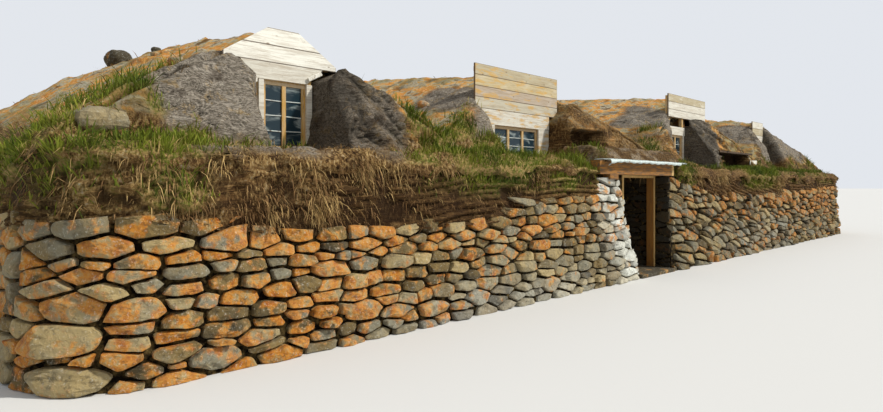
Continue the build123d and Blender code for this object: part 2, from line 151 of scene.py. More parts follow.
class RubbleSettings(bpy.types.PropertyGroup):
    """Sizes and colours of the stones."""
    stone_length: length_setting("Stone length", "Mean length of a stone in the near wall", 0.31)
    course: length_setting("Course", "Mean height of a course in the near wall", 0.108)
    far_length: length_setting("Far stone length", "Mean length of a stone elsewhere", 0.42)
    far_course: length_setting("Far course", "Mean height of a course elsewhere", 0.15)
    joint: length_setting("Joint", "Mean gap between stones", 0.014)
    proud: length_setting("Proud", "How far the stones stand out of the wall's earth", 0.085)
    # Core: dark earth between the stones, made near black as painted shade in the gaps; the stone finishes
    # also mix towards it as painted shade.
    core: colour_setting("Core", "Dark earth between the stones", (22, 17, 12))
    grey: colour_setting("Grey", "Grey basalt", (128, 124, 106))
    brown: colour_setting("Brown", "Brown basalt", (128, 108, 68))
    dark: colour_setting("Dark", "Dark basalt", (72, 65, 50))
    buff: colour_setting("Buff", "Buff basalt", (168, 148, 104))
    pale: colour_setting("Pale", "Whitish stones by the door", (222, 224, 214))
    lichen: colour_setting("Lichen", "Orange lichen", (202, 132, 44))
    lichen_deep: colour_setting("Deep lichen", "Reddish orange lichen", (168, 94, 30))


class TurfSettings(bpy.types.PropertyGroup):
    """Shape of the turf, and its colours."""
    rise: length_setting("Rise", "How far the ridges climb behind the gables", 0.40)
    rise_end: length_setting("Rise end", "Depth at which the ridges stop climbing", 5.0)
    valley: length_setting("Valley", "Height of the valleys over the front", 2.08)
    eaves: length_setting("Eaves", "Height of the turf at the two ends", 1.86)
    bulge: length_setting("Bulge", "How far the slopes bulge", 0.07)
    cover: length_setting("Cover", "How far the skin stands over the solid turf", 0.045)
    lump: length_setting("Lump", "Height of the lumps in the turf", 0.05)
    step: length_setting("Step", "Spacing of the grid", 0.055)
    stratum: length_setting("Stratum", "Thickness of a layer of cut turf", 0.075)
    ledge: length_setting("Ledge", "How far the layers of cut turf stand out", 0.075)
    peat: colour_setting("Peat", "Cut brown turf", (116, 87, 54))
    peat_dark: colour_setting("Dark peat", "Dark layers in the cut turf", (46, 33, 22))
    peat_pale: colour_setting("Pale peat", "Dry layers in the cut turf", (174, 140, 92))
    moss: colour_setting("Moss", "Ochre moss on the roofs", (206, 166, 96))
    moss_orange: colour_setting("Orange moss", "Orange moss on the roofs", (214, 136, 58))
    moss_pale: colour_setting("Pale moss", "Dry tan moss on the roofs", (222, 198, 150))
    weathered: colour_setting("Weathered", "Grey-green weathered turf", (182, 174, 150))
    net: colour_setting("Netting", "Grey netting over the cheeks", (130, 121, 108))
    # Dark netting stands for the folds: painted shade in them and on shaded faces, and dark fibres.
    net_dark: colour_setting("Dark netting", "Folds of the netting", (46, 42, 37))
    net_pale: colour_setting("Pale netting", "Dry fibres in the netting", (184, 175, 160))
    green: colour_setting("Green", "Green growth", (92, 112, 36))
    straw: colour_setting("Straw", "Dead grass", (178, 149, 98))


class GrowthSettings(bpy.types.PropertyGroup):
    """Blades of the grass that grows in the turf."""
    density: number_setting("Density", "Share of the blades that is made", 1.0, min=0.0, max=1.0)
    blade_width: length_setting("Blade width", "Width of a blade at its foot", 0.0095)
    green: colour_setting("Green", "Green blades", (126, 142, 38))
    green_dark: colour_setting("Dark green", "Blades in the tufts", (44, 84, 16))
    straw: colour_setting("Straw", "Dead blades", (194, 164, 108))
    rust: colour_setting("Rust", "Reddish dead blades", (132, 100, 66))
    root: colour_setting("Root", "Brown roots in the cut turf", (104, 78, 48))


class TimberSettings(bpy.types.PropertyGroup):
    """Colours of the timber, the sheet and the glass."""
    cream: colour_setting("Cream", "New cream boards", (240, 238, 226))
    white: colour_setting("White", "Whitish boards", (216, 212, 198))
    tan: colour_setting("Tan", "Greyish tan boards", (184, 173, 144))
    pink: colour_setting("Pink", "Pinkish weathered boards", (182, 167, 148))
    grey: colour_setting("Grey boards", "Greyish cream boards", (194, 187, 166))
    sand: colour_setting("Sand", "Yellowish boards", (196, 180, 142))
    ochre: colour_setting("Ochre", "Ochre stain on the boards", (200, 156, 78))
    knot: colour_setting("Knot", "Knots and grain", (142, 116, 82))
    window: colour_setting("Window", "Pale window timber", (198, 180, 150))
    window_tan: colour_setting("Tan window", "Tan timber of the first window", (202, 170, 124))
    door: colour_setting("Door", "Orange-brown door timber", (156, 106, 46))
    door_edge: colour_setting("Door edge", "Pale front edges of the door frame", (206, 172, 112))
    old: colour_setting("Old timber", "Dark roof timber", (96, 76, 56))
    sheet: colour_setting("Sheet", "Pale blue-grey corrugated sheet", (206, 220, 216))
    rust: colour_setting("Rust", "Rust on the sheet", (128, 84, 54))
    # The panes are opaque, so their dark colour is painted shade of the unlit room behind them.
    glass: colour_setting("Glass", "Dark window glass", (38, 54, 62))
    bar: colour_setting("Bars", "Pale glazing bars", (206, 208, 204))


class StageSettings(bpy.types.PropertyGroup):
    """Camera, light and floor."""
    camera_place: bpy.props.FloatVectorProperty(
        name="Camera", description="Place of the camera", subtype="XYZ", unit="LENGTH",
        default=(-9.55, -4.63, 1.5))
    heading: number_setting("Heading", "Camera heading from +Y to +X", math.atan2(0.6955, 0.7185),
                            subtype="ANGLE")
    lens: number_setting("Lens", "Focal length in millimetres", 24.0)
    horizon_shift: number_setting("Horizon shift", "Shift of the frame", -0.0227)
    sun: number_setting("Sun", "Strength of the soft key light", 3.45)
    sky: number_setting("Sky", "Strength of the even light", 0.56)
    floor: colour_setting("Floor", "Plain pale floor", (214, 214, 212))
    backdrop: colour_setting("Backdrop", "Plain pale backdrop", (226, 230, 236))


class TurfHouseSettings(bpy.types.PropertyGroup):
    """All the settings of the turf house."""
    rubble: bpy.props.PointerProperty(name="Rubble", type=RubbleSettings)
    turf: bpy.props.PointerProperty(name="Turf", type=TurfSettings)
    growth: bpy.props.PointerProperty(name="Growth", type=GrowthSettings)
    timber: bpy.props.PointerProperty(name="Timber", type=TimberSettings)
    stage: bpy.props.PointerProperty(name="Stage", type=StageSettings)


# Noise

LATTICE_PRIMES = np.array([73856093, 19349663, 83492791])
SEED_PRIME = 2654435761
SCRAMBLE = 1274126177
WORD = 0xFFFFFFFF
HALF_WORD = 32767.5


def lattice(points, seed):
    """Value noise from -1 to 1: a hashed number at each whole-number lattice point, blended
    along each axis by the weight 3t^2 - 2t^3 inside the cell."""
    points = np.asarray(points, float)
    cell = np.floor(points).astype(np.int64)
    part = points - cell
    part = part * part * (3 - 2 * part)
    total = np.zeros(points.shape[:-1])
    for corner in range(8):
        step = np.array([corner & 1, corner >> 1 & 1, corner >> 2 & 1])
        key = ((cell + step) * LATTICE_PRIMES).sum(-1) + seed * SEED_PRIME
        key = ((key ^ key >> 13) * SCRAMBLE) & WORD
        key = ((key ^ key >> 15) * SCRAMBLE) & WORD
        value = ((key ^ key >> 16) & 0xFFFF) / HALF_WORD - 1
        total += value * np.where(step, part, 1 - part).prod(-1)
    return total


def fractal(points, size, octaves, seed):
    """Layers of value noise, each half as wide and half as strong as the one before it."""
    points = np.asarray(points, float) / size
    layers = [lattice(points * 2 ** layer, seed + layer) * 0.5 ** layer for layer in range(octaves)]
    return sum(layers)


def smooth(value, low, high):
    """0 below low, 1 above high, and 3t^2 - 2t^3 between them."""
    part = np.clip((np.asarray(value, float) - low) / (high - low), 0, 1)
    return part * part * (3 - 2 * part)


def patch(x, low, high, edge=0.2):
    """1 between low and high, which may be arrays, with soft edges."""
    return smooth(x, low - edge, low + edge) * (1 - smooth(x, high - edge, high + edge))


# Meshes

def add_object(name, data):
    """Puts a new object made of some data into the scene."""
    item = bpy.data.objects.new(name, data)
    bpy.context.scene.collection.objects.link(item)
    return item


def make_piece(name, points, faces, values, finish, shade_smooth=True):
    """Makes a mesh object from an array of points and one of faces, all with as many corners.
    values are floats for each point, by name. The piece rides on the house."""
    points = np.asarray(points, np.float32).reshape(-1, 3)
    faces = np.asarray(faces, np.int32)
    count, corners = faces.shape
    mesh = bpy.data.meshes.new(name)
    mesh.vertices.add(len(points))
    mesh.vertices.foreach_set("co", points.ravel())
    mesh.loops.add(count * corners)
    mesh.loops.foreach_set("vertex_index", faces.ravel())
    mesh.polygons.add(count)
    mesh.polygons.foreach_set("loop_start", np.arange(0, count * corners, corners, dtype=np.int32))
    mesh.update(calc_edges=True)
    mesh.validate()
    mesh.polygons.foreach_set("use_smooth", np.full(len(mesh.polygons), shade_smooth))
    for key, value in values.items():
        layer = mesh.attributes.new(key, "FLOAT", "POINT")
        layer.data.foreach_set("value", np.asarray(value, np.float32).ravel())
    mesh.materials.append(finish)
    piece = add_object(name, mesh)
    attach(piece, "root")
    return piece


def grid_faces(rows, columns, start=0):
    """Quads over a grid of points kept row by row; they face up where columns run along +X
    and rows along +Y."""
    low = (np.arange(rows - 1)[:, None] * columns + np.arange(columns - 1)).ravel() + start
    return np.stack([low, low + 1, low + columns + 1, low + columns], 1)


def repeated(faces, count, each):
    """The same faces for each of count bodies, which have the same number of points."""
    return (faces[None] + (np.arange(count) * each)[:, None, None]).reshape(-1, faces.shape[1])


def tube_faces(rings, around):
    """Quads of a tube kept ring by ring, whose ends are folded shut from side to side."""
    step = np.arange(around)
    after = (step + 1) % around
    strip = np.stack([step, after, after + around, step + around], 1)
    side = np.arange(around // 2 - 1)
    cap = np.stack([side, around - 1 - side, around - 2 - side, side + 1], 1)
    return np.concatenate([repeated(strip, rings - 1, around), cap, (cap + (rings - 1) * around)[:, ::-1]])


def quad_normals(points, faces):
    """Middles of quads, and their normals, as long as twice the quads' areas."""
    corners = points.reshape(-1, 3)[faces]
    return corners.mean(1), np.cross(corners[:, 2] - corners[:, 0], corners[:, 3] - corners[:, 1])


def facing(points, outward):
    """Quads over a grid of points, turned so that they face along the outward vector on the
    whole."""
    faces = grid_faces(*points.shape[:2])
    normals = quad_normals(points, faces)[1]
    return faces if (normals * np.asarray(outward)).sum() >= 0 else faces[:, ::-1]


# Materials

class Nodes:
    """A node tree under construction. A method that adds nodes gives the socket they end in."""

    def __init__(self, tree):
        self.tree = tree

    def put(self, socket, value):
        """Links a socket, or sets a number or colour, into an input."""
        if isinstance(value, bpy.types.NodeSocket):
            self.tree.links.new(value, socket)
        elif hasattr(value, "__len__") and len(value) == 3 and socket.type == "RGBA":
            socket.default_value = (*value, 1)
        else:
            socket.default_value = value

    def add(self, kind, output, inputs, **settings):
        """Adds a node of a kind, sets it up, feeds its inputs and gives one of its outputs."""
        node = self.tree.nodes.new("ShaderNode" + kind)
        for name, value in settings.items():
            setattr(node, name, value)
        for name, value in inputs.items():
            self.put(node.inputs[name], value)
        return node.outputs[output]

    def math(self, operation, first, second=0.0, clamp=False):
        """One sum on two numbers or sockets."""
        return self.add("Math", 0, {0: first, 1: second}, operation=operation, use_clamp=clamp)


class Finish(Nodes):
    """A material under construction."""

    def __init__(self, name, roughness, metallic=0.0, specular=0.3):
        self.material = bpy.data.materials.new(name)
        self.material.use_nodes = True
        super().__init__(self.material.node_tree)
        self.shader = self.tree.nodes["Principled BSDF"]
        for socket, value in (("Roughness", roughness), ("Metallic", metallic),
                              ("Specular IOR Level", specular)):
            self.shader.inputs[socket].default_value = value
        self.place = self.add("TexCoord", "Object", {})

    def attribute(self, name):
        """A float kept on the mesh's points."""
        return self.add("Attribute", "Fac", {}, attribute_name=name)

    def stretched(self, scale):
        """Object coordinates, stretched along each axis if a scale is given."""
        if not scale:
            return self.place
        return self.add("Mapping", "Vector", {"Vector": self.place, "Scale": scale})

    def axis(self, name):
        """One Object coordinate: X, Y or Z."""
        return self.add("SeparateXYZ", name, {0: self.place})

    def noise(self, scale, detail=4.0, roughness=0.55, stretch=None, distortion=0.0):
        """Fractal noise from 0 to 1."""
        return self.add("TexNoise", "Fac", {
            "Vector": self.stretched(stretch), "Scale": scale, "Detail": detail,
            "Roughness": roughness, "Distortion": distortion})

    def cells(self, scale, stretch=None):
        """Distance to the nearest of scattered points."""
        return self.add("TexVoronoi", "Distance", {"Vector": self.stretched(stretch), "Scale": scale})

    def times(self, first, second):
        """The product of two numbers or sockets."""
        return self.math("MULTIPLY", first, second)

    def plus(self, first, second):
        """The sum of two numbers or sockets."""
        return self.math("ADD", first, second)

    def minus(self, first, second):
        """The first number or socket less the second."""
        return self.math("SUBTRACT", first, second)

    def between(self, value, low, high):
        """0 below low and 1 above high, smoothly."""
        return self.add("MapRange", "Result", {"Value": value, "From Min": low, "From Max": high},
                        interpolation_type="SMOOTHSTEP")

    def spots(self, low, high, *sizes, **more):
        """Noise, from its sizes, that is spread to 0 below low and 1 above high."""
        return self.between(self.noise(*sizes, **more), low, high)

    def mix(self, share, first, second):
        """Two colours mixed by a share."""
        return self.add("Mix", "Result", {"Factor": share, "A": first, "B": second}, data_type="RGBA")

    def cover(self, base, colour, share, strength):
        """A colour laid over a base by a share, which the strength weakens."""
        return self.mix(self.times(share, strength), base, colour)

    def ramp(self, value, *stops, plain=False):
        """A run of colours over a value from 0 to 1; stops are pairs of place and colour. A
        plain ramp has sharp steps."""
        colour = self.add("ValToRGB", "Color", {"Fac": value})
        ramp = colour.node.color_ramp
        ramp.interpolation = "CONSTANT" if plain else "LINEAR"
        while len(ramp.elements) < len(stops):
            ramp.elements.new(0.5)
        for element, (place, tint) in zip(ramp.elements, stops):
            element.position = place
            element.color = (*tint, 1)
        return colour

    def stripes(self, share, colours):
        """Plain colours one after the other, in equal shares from 0 to 1."""
        return self.ramp(share, *((index / len(colours), colour) for index, colour in enumerate(colours)),
                         plain=True)

    def bump(self, height, distance, strength=1.0, over=None):
        """Relief of a height, laid over another relief if there is one."""
        inputs = {"Strength": strength, "Distance": distance, "Height": height}
        if over is not None:
            inputs["Normal"] = over
        return self.add("Bump", "Normal", inputs)

    def done(self, colour, normal=None, roughness=None):
        """Ends the material in its shader."""
        for socket, value in (("Base Color", colour), ("Normal", normal), ("Roughness", roughness)):
            if value is not None:
                self.put(self.shader.inputs[socket], value)
        return self.material


def dress(nodes, finish):
    """Gives CAD nodes a finish."""
    for name in nodes:
        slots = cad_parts[name].material_slots
        if not slots:
            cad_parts[name].data.materials.append(finish)
        for slot in slots:
            slot.material = finish


def stone_finish(rubble, name="rubble_stone", painted_shade=0.0):
    """Basalt: a tone for each stone, films of orange lichen where rust is high, dark spots of painted
    shade for hollows and crevices, and pale crusts; the last argument mixes it all towards the core
    colour as painted shade."""
    f = Finish(name, 0.9)
    drift = f.minus(f.noise(5.0, 5.0, 0.6), 0.5)
    tone = f.plus(f.attribute("tone"), f.times(drift, 0.8))
    body = f.ramp(tone, (0.0, rubble.dark), (0.3, rubble.brown), (0.6, rubble.grey), (0.95, rubble.buff))
    body = f.mix(f.attribute("pale"), body, rubble.pale)
    film = f.plus(f.noise(5.5, 7.0, 0.64), f.times(f.attribute("rust"), 0.2))
    lichen = f.ramp(f.noise(12.0, 6.0, 0.65), (0.36, rubble.lichen_deep),
                    (0.5, rubble.lichen), (0.64, rubble.buff))
    body = f.cover(body, lichen, f.between(film, 0.57, 0.67), 0.8)
    # Painted shade: dark spots for hollows and crevices in the stone.
    body = f.cover(body, rubble.dark, f.spots(0.52, 0.64, 17.0, 7.0, 0.7), 0.5)
    body = f.cover(body, rubble.pale, f.spots(0.55, 0.66, 44.0, 5.0, 0.7), 0.3)
    relief = f.bump(f.noise(32.0, 8.0, 0.7), 0.025, 0.8)
    relief = f.bump(f.cells(19.0), 0.014, 0.4, over=relief)
    # Painted shade: the stone is mixed towards the dark core colour by the given share.
    return f.done(f.mix(painted_shade, body, rubble.core), relief)


def core_finish(rubble):
    """Dark earth behind the stones, near black so that it also stands as painted shade in the gaps
    between them.
    """
    f = Finish("wall_core", 1.0, specular=0.1)
    colour = f.mix(f.spots(0.4, 0.9, 18.0, 6.0), rubble.core, rubble.brown)
    return f.done(colour, f.bump(f.noise(30.0, 5.0), 0.03))


def peat_colour(f, turf, layers, grain):
    """Cut turf: dark and pale layers, pale roots and dark grain."""
    peat = f.ramp(layers, (0.34, turf.peat_dark), (0.45, turf.peat), (0.52, turf.peat_dark),
                  (0.58, turf.peat), (0.64, turf.peat_pale), (0.72, turf.peat))
    roots = f.noise(16.0, 7.0, 0.75, (1.0, 1.0, 0.4), 1.5)
    peat = f.cover(peat, turf.peat_pale, f.between(roots, 0.53, 0.6), 0.6)
    return f.cover(peat, turf.peat_dark, f.between(grain, 0.5, 0.62), 0.55)


def moss_colour(f, turf):
    """Moss in broad patches and small tufts, with bare specks and damp green areas."""
    broad = f.times(f.noise(2.4, 5.0, 0.6, (1.0, 1.5, 1.0), 0.8), 0.5)
    tufts = f.times(f.noise(8.0, 6.0, 0.7, (1.0, 0.55, 1.2)), 0.5)
    moss = f.ramp(f.plus(broad, tufts), (0.4, turf.peat), (0.44, turf.weathered), (0.475, turf.weathered),
                  (0.5, turf.moss), (0.55, turf.moss_orange), (0.62, turf.moss_pale))
    moss = f.cover(moss, turf.peat, f.spots(0.5, 0.62, 26.0, 6.0, 0.7), 0.5)
    damp = f.spots(0.48, 0.58, 0.7, 6.0, 0.66, distortion=0.8)
    film = f.mix(0.4, f.mix(0.35, turf.green, turf.weathered), turf.peat)
    return f.cover(moss, film, damp, 0.6)


def net_colour(f, turf, creases):
    """Netting: painted shade in its creases and painted highlight on their ridges, short fibres, caught
    straw, and long strands that sweep in curves.
    """
    # Painted shade and highlight: dark where the creases lie low, pale on their ridges.
    net = f.ramp(creases, (0.35, turf.net_dark), (0.46, turf.net), (0.58, turf.net), (0.68, turf.net_pale))
    fibres = f.noise(46.0, 6.0, 0.76, (0.45, 0.6, 1.5), 1.2)
    net = f.cover(net, turf.net_dark, f.between(fibres, 0.5, 0.6), 0.62)
    net = f.cover(net, turf.net_pale, f.between(fibres, 0.5, 0.4), 0.5)
    net = f.cover(net, turf.straw, f.spots(0.54, 0.62, 7.0, 7.0, 0.75), 0.5)
    sweep = f.times(f.noise(3.4, 3.0, 0.5, (0.6, 0.8, 1.4), 1.8), 11.0)
    strand = f.math("ABSOLUTE", f.minus(f.math("FRACT", sweep), 0.5))
    net = f.cover(net, turf.net_dark, f.between(strand, 0.22, 0.05), 0.42)
    return f.cover(net, turf.net_pale, f.between(strand, 0.36, 0.48), 0.36)


def turf_finish(turf):
    """Turf skin: peat in layers, moss, weathered turf, netting and green, each by its own share,
    with painted shadow on the netting by the dark share and painted shade of dark peat where the
    skin is hollow, by the deep share."""
    f = Finish("turf_skin", 0.97, specular=0.12)
    layers = f.noise(1.0, 8.0, 0.72, (1.8, 1.8, 24.0), 0.6)
    grain = f.noise(42.0, 6.0, 0.72)
    creases = f.noise(4.2, 8.0, 0.68, (1.0, 0.5, 1.9), 1.4)
    net = net_colour(f, turf, creases)
    straw = f.ramp(f.noise(30.0, 6.0, 0.74, (1.0, 1.0, 0.6)), (0.4, turf.peat_dark),
                   (0.48, turf.peat), (0.58, turf.straw), (0.7, turf.net_pale))
    green = f.mix(f.spots(0.35, 0.65, 24.0, 5.0), turf.green, turf.straw)
    colour = f.cover(peat_colour(f, turf, layers, grain), straw, f.attribute("straw"), 0.9)
    colour = f.mix(f.attribute("moss"), colour, moss_colour(f, turf))
    colour = f.mix(f.attribute("net"), colour, net)
    # Painted shadow: the dark share turns the colour towards the netting's dark folds.
    colour = f.cover(colour, f.mix(0.27, turf.net_dark, net), f.attribute("dark"), 0.85)
    colour = f.cover(colour, green, f.attribute("green"), 0.75)
    # Painted shade: the deep share darkens towards dark peat in hollows, recesses, holes and under lips; it
    # also darkens a bare stretch of the cut face and the heap between its stones.
    colour = f.cover(colour, turf.peat_dark, f.attribute("deep"), 0.85)
    relief = f.bump(layers, 0.05, 0.5)
    relief = f.bump(grain, 0.03, 0.7, over=relief)
    relief = f.bump(creases, 0.05, 0.6, over=relief)
    return f.done(colour, relief)


def blade_finish(growth):
    """Grass blades: roots, dead or green by tone, darker at their feet."""
    f = Finish("turf_growth", 0.8, specular=0.2)
    colour = f.ramp(f.attribute("tone"), (0.0, growth.root), (0.14, growth.rust), (0.32, growth.straw),
                    (0.55, growth.straw), (0.66, growth.green), (1.0, growth.green_dark))
    return f.done(f.cover(colour, growth.root, f.minus(1.0, f.attribute("tip")), 0.55))


# Half the share of a board's height that is its face and not the seam, and the widths of the
# dark cut ends that show at the left and the right
SEAM_FROM_MIDDLE = 0.465
END_LEFT, END_RIGHT = 0.006, 0.003


def board_finish(name, timber, low, high, colours, stain, box):
    """Sawn boards, each of its own colour from the lowest up: grain along the front, knots,
    stains, and dark cut edges at the two ends. Below low they are white casings."""
    f = Finish(name, 0.78)
    x, z = f.axis("X"), f.axis("Z")
    climb = f.minus(z, low)
    base = f.stripes(f.math("DIVIDE", climb, high - low, clamp=True), colours)
    base = f.mix(f.math("LESS_THAN", z, low), base, timber.white)
    course = f.math("FRACT", f.times(f.math("DIVIDE", climb, high - low), float(len(colours))))
    seam = f.math("LESS_THAN", f.math("ABSOLUTE", f.minus(course, 0.5)), SEAM_FROM_MIDDLE)
    seam = f.times(f.minus(1.0, seam), f.math("GREATER_THAN", z, low - 0.01))
    grain = f.noise(5.0, 8.0, 0.68, (0.6, 6.0, 10.0), 0.9)
    colour = f.cover(base, timber.knot, f.between(grain, 0.44, 0.62), 0.4)
    spread = f.noise(2.6, 7.0, 0.72, (1.0, 1.0, 4.5), 0.4)
    stained = f.between(spread, 0.66 - stain * 0.14, 0.72 - stain * 0.12)
    colour = f.cover(colour, timber.ochre, stained, 0.75)
    bleached = f.spots(0.5, 0.75, 3.4, 5.0, stretch=(0.8, 1.0, 3.0))
    colour = f.cover(colour, timber.cream, bleached, 0.5 - 0.3 * stain)
    knots = f.minus(1.0, f.between(f.cells(4.6, stretch=(1.0, 1.0, 1.9)), 0.04, 0.13))
    colour = f.cover(colour, f.mix(0.45, timber.knot, timber.old), knots, 0.8)
    dirt = f.spots(0.56, 0.74, 18.0, 6.0, 0.7)
    ends = f.math("MAXIMUM", f.math("LESS_THAN", x, box[0].x + END_LEFT),
                  f.math("GREATER_THAN", x, box[1].x - END_RIGHT))
    for share, strength in ((dirt, 0.3), (seam, 0.7), (ends, 0.85)):
        colour = f.cover(colour, timber.old, share, strength)
    return f.done(colour, f.bump(grain, 0.008, 0.7))


def long_grain(f, along):
    """Grain of rough timber, stretched along it."""
    return f.noise(7.0, 8.0, 0.68, along, 0.6)


def beam_finish(name, light, dark, knot, along, end=None):
    """Rough timber with long grain. end is (axis, place, colour): beyond that place along the
    axis the timber takes the colour."""
    f = Finish(name, 0.8)
    grain = long_grain(f, along)
    colour = f.mix(f.between(grain, 0.38, 0.62), dark, light)
    cracks = f.noise(3.0, 7.0, stretch=tuple(2.4 * a for a in along), roughness=0.7)
    colour = f.cover(colour, knot, f.between(cracks, 0.56, 0.62), 0.8)
    if end:
        axis, place, tint = end
        cut = f.mix(f.spots(0.4, 0.65, 30.0, 4.0), tint, f.mix(0.3, tint, dark))
        colour = f.cover(colour, cut, f.math("GREATER_THAN", f.axis(axis), place), 0.85)
    return f.done(colour, f.bump(grain, 0.01, 0.8))


def door_frame_finish(timber, front):
    """Orange-brown timber with long upright grain, whose front edges are pale."""
    f = Finish("door_timber", 0.8)
    grain = long_grain(f, (6.0, 6.0, 0.6))
    lit = f.between(grain, 0.38, 0.62)
    side = f.mix(lit, f.mix(0.5, timber.door, timber.old), timber.door)
    edge = f.mix(lit, f.mix(0.4, timber.door_edge, timber.door), timber.door_edge)
    behind = f.between(f.axis("Y"), front + 0.003, front + 0.008)
    return f.done(f.mix(behind, edge, side), f.bump(grain, 0.01, 0.8))


def sheet_finish(timber):
    """Galvanised sheet: dull, streaked, with a little rust."""
    f = Finish("corrugated_iron", 0.5, metallic=0.1, specular=0.4)
    streaks = f.noise(3.0, 6.0, stretch=(9.0, 0.8, 3.0))
    colour = f.mix(f.between(streaks, 0.4, 0.7), timber.sheet, f.mix(0.3, timber.sheet, timber.old))
    rusty = f.spots(0.62, 0.72, 5.0, 8.0, 0.7)
    return f.done(f.mix(rusty, colour, timber.rust), f.bump(streaks, 0.002, 0.4),
                  f.plus(0.4, f.times(rusty, 0.4)))


def glass_finish(timber):
    """Old window glass, opaque and painted dark for the unlit room behind it, with patches of
    painted reflection, a little uneven.
    """
    f = Finish("window_pane", 0.14, specular=0.32)
    # Painted reflection: pale patches of the sheet's colour over the glass.
    painted_reflection = f.spots(0.5, 0.68, 3.1, 4.0, stretch=(1.0, 1.0, 2.4), distortion=0.8)
    return f.done(f.cover(timber.glass, timber.sheet, painted_reflection, 0.4), f.bump(f.noise(4.0, 2.0), 0.004, 0.3))


# The walls' footprint

# Radius of the walls' corners at the ground, how far their faces lean in up to the wall top, and
# the number of points round a corner
CORNER_RADIUS = 0.9
BATTER = 0.12
ARC_STEPS = 40


class Footprint:
    """The walls' outline at the ground as a path along the front from its left corner, then round
    by the right side, the back and the left side. Distance 0 is where the front's straight
    part starts at the left."""

    def __init__(self):
        r = CORNER_RADIUS
        turns = np.linspace(0, math.pi / 2, ARC_STEPS)
        corners = (
            ((WALL_RIGHT - r, FRONT_FACE + r), -math.pi / 2),
            ((WALL_RIGHT - r, WALL_BACK - r), 0.0),
            ((WALL_LEFT + r, WALL_BACK - r), math.pi / 2),
            ((WALL_LEFT + r, FRONT_FACE + r), math.pi),
        )
        points = [np.array([[WALL_LEFT + r, FRONT_FACE]])]
        normals = [np.array([[0.0, -1.0]])]
        for (x, y), start in corners:
            ray = np.stack([np.cos(start + turns), np.sin(start + turns)], 1)
            points.append(np.array([x, y]) + r * ray)
            normals.append(ray)
        self.points = np.concatenate(points)
        self.normals = np.concatenate(normals)
        steps = np.linalg.norm(np.diff(self.points, axis=0), axis=1)
        self.distance = np.concatenate([[0.0], np.cumsum(steps)])
        self.length = self.distance[-1]

    def at(self, along, out, z):
        """Points at a distance along the path, out from the battered face, at height z."""
        along = np.mod(along, self.length)
        place = [np.interp(along, self.distance, self.points[:, i]) for i in (0, 1)]
        normal = [np.interp(along, self.distance, self.normals[:, i]) for i in (0, 1)]
        size = np.hypot(*normal)
        off = (out - BATTER * z / WALL_TOP) / size
        return np.stack([place[0] + normal[0] * off, place[1] + normal[1] * off, z + 0 * off], -1)

    def front(self, x):
        """Distance along the path of a place on the front."""
        return x - (WALL_LEFT + CORNER_RADIUS)


footprint = Footprint()

# Distances along the path: an eighth of a turn at a corner, the end of the front's straight
# part, and the middles of the two corners at the back
EIGHTH = CORNER_RADIUS * math.pi / 4
FRONT_END = footprint.front(WALL_RIGHT - CORNER_RADIUS)
BACK_RIGHT = FRONT_END + 3 * EIGHTH + WALL_BACK - 2 * CORNER_RADIUS
BACK_LEFT = BACK_RIGHT + 2 * EIGHTH + WALL_RIGHT - WALL_LEFT - 2 * CORNER_RADIUS


# Rubble stones

# Shares of a stone's outline at which its rings lie, how far each drops, how many broken
# facets it has, how low its face may lie, how far it runs into the wall, and its lowest height
FACE_RINGS = (0.36, 0.66, 0.88, 0.97, 1.0, 1.0)
RIM_DROP = (0.0, 0.0, 0.0, 0.005, 0.024, 0.0)
FACETS = 5
FACE_LOWEST = 0.034
STONE_BACK = -0.03
STONE_FOOT = 0.002


def stone_faces(angles):
    """Quads of one stone, whose points are rings from its face to its back and then its front
    and back middles: fans of four corners over the middles, and strips between the rings."""
    turn = np.arange(angles)
    after = (turn + 1) % angles
    faces = [np.stack([turn, turn + angles, after + angles, after], 1) + ring * angles
             for ring in range(len(FACE_RINGS) - 1)]
    last = (len(FACE_RINGS) - 1) * angles
    front, back = last + angles, last + angles + 1
    first, second, third = turn[::2], turn[1::2], (turn[::2] + 2) % angles
    faces.append(np.stack([0 * first + front, first, second, third], 1))
    faces.append(np.stack([0 * first + back, last + third, last + second, last + first], 1))
    return np.concatenate(faces)


def courses(low_u, high_u, low_v, top_line, low_line, walls, length, height, random):
    """Centres and half lengths of stones laid in jittered courses between a lower and a top line,
    inside the half planes given as walls."""
    centres, halves = [], []
    v = low_v
    while v < top_line(np.linspace(low_u, high_u, 30)).max():
        rise = height * random.uniform(0.7, 1.35)
        count = int((high_u - low_u) / length * 1.8) + 3
        lengths = length * random.uniform(0.5, 1.6, count)
        ends = low_u - random.uniform(0, length) + np.cumsum(lengths)
        middles = ends - lengths / 2
        heights = v + rise / 2 + random.uniform(-0.22, 0.22, count) * rise
        keep = (middles > low_u) & (middles < high_u) & (heights < top_line(middles) - 0.03)
        keep &= heights > low_line(middles)
        for wall_u, wall_v, offset in walls:
            keep &= middles * wall_u + heights * wall_v < offset - 0.03
        centres.append(np.stack([middles[keep], heights[keep]], 1))
        halves.append(lengths[keep] / 2)
        v += rise
    return np.concatenate(centres), np.concatenate(halves)


# How much more height counts than length, how many neighbours bound a stone, the power that
# keeps its corners, and the farthest that its outline reaches
ANISOTROPY = 2.3
NEIGHBOURS = 12
CORNER_POWER = 34.0
LONGEST_REACH = 0.45


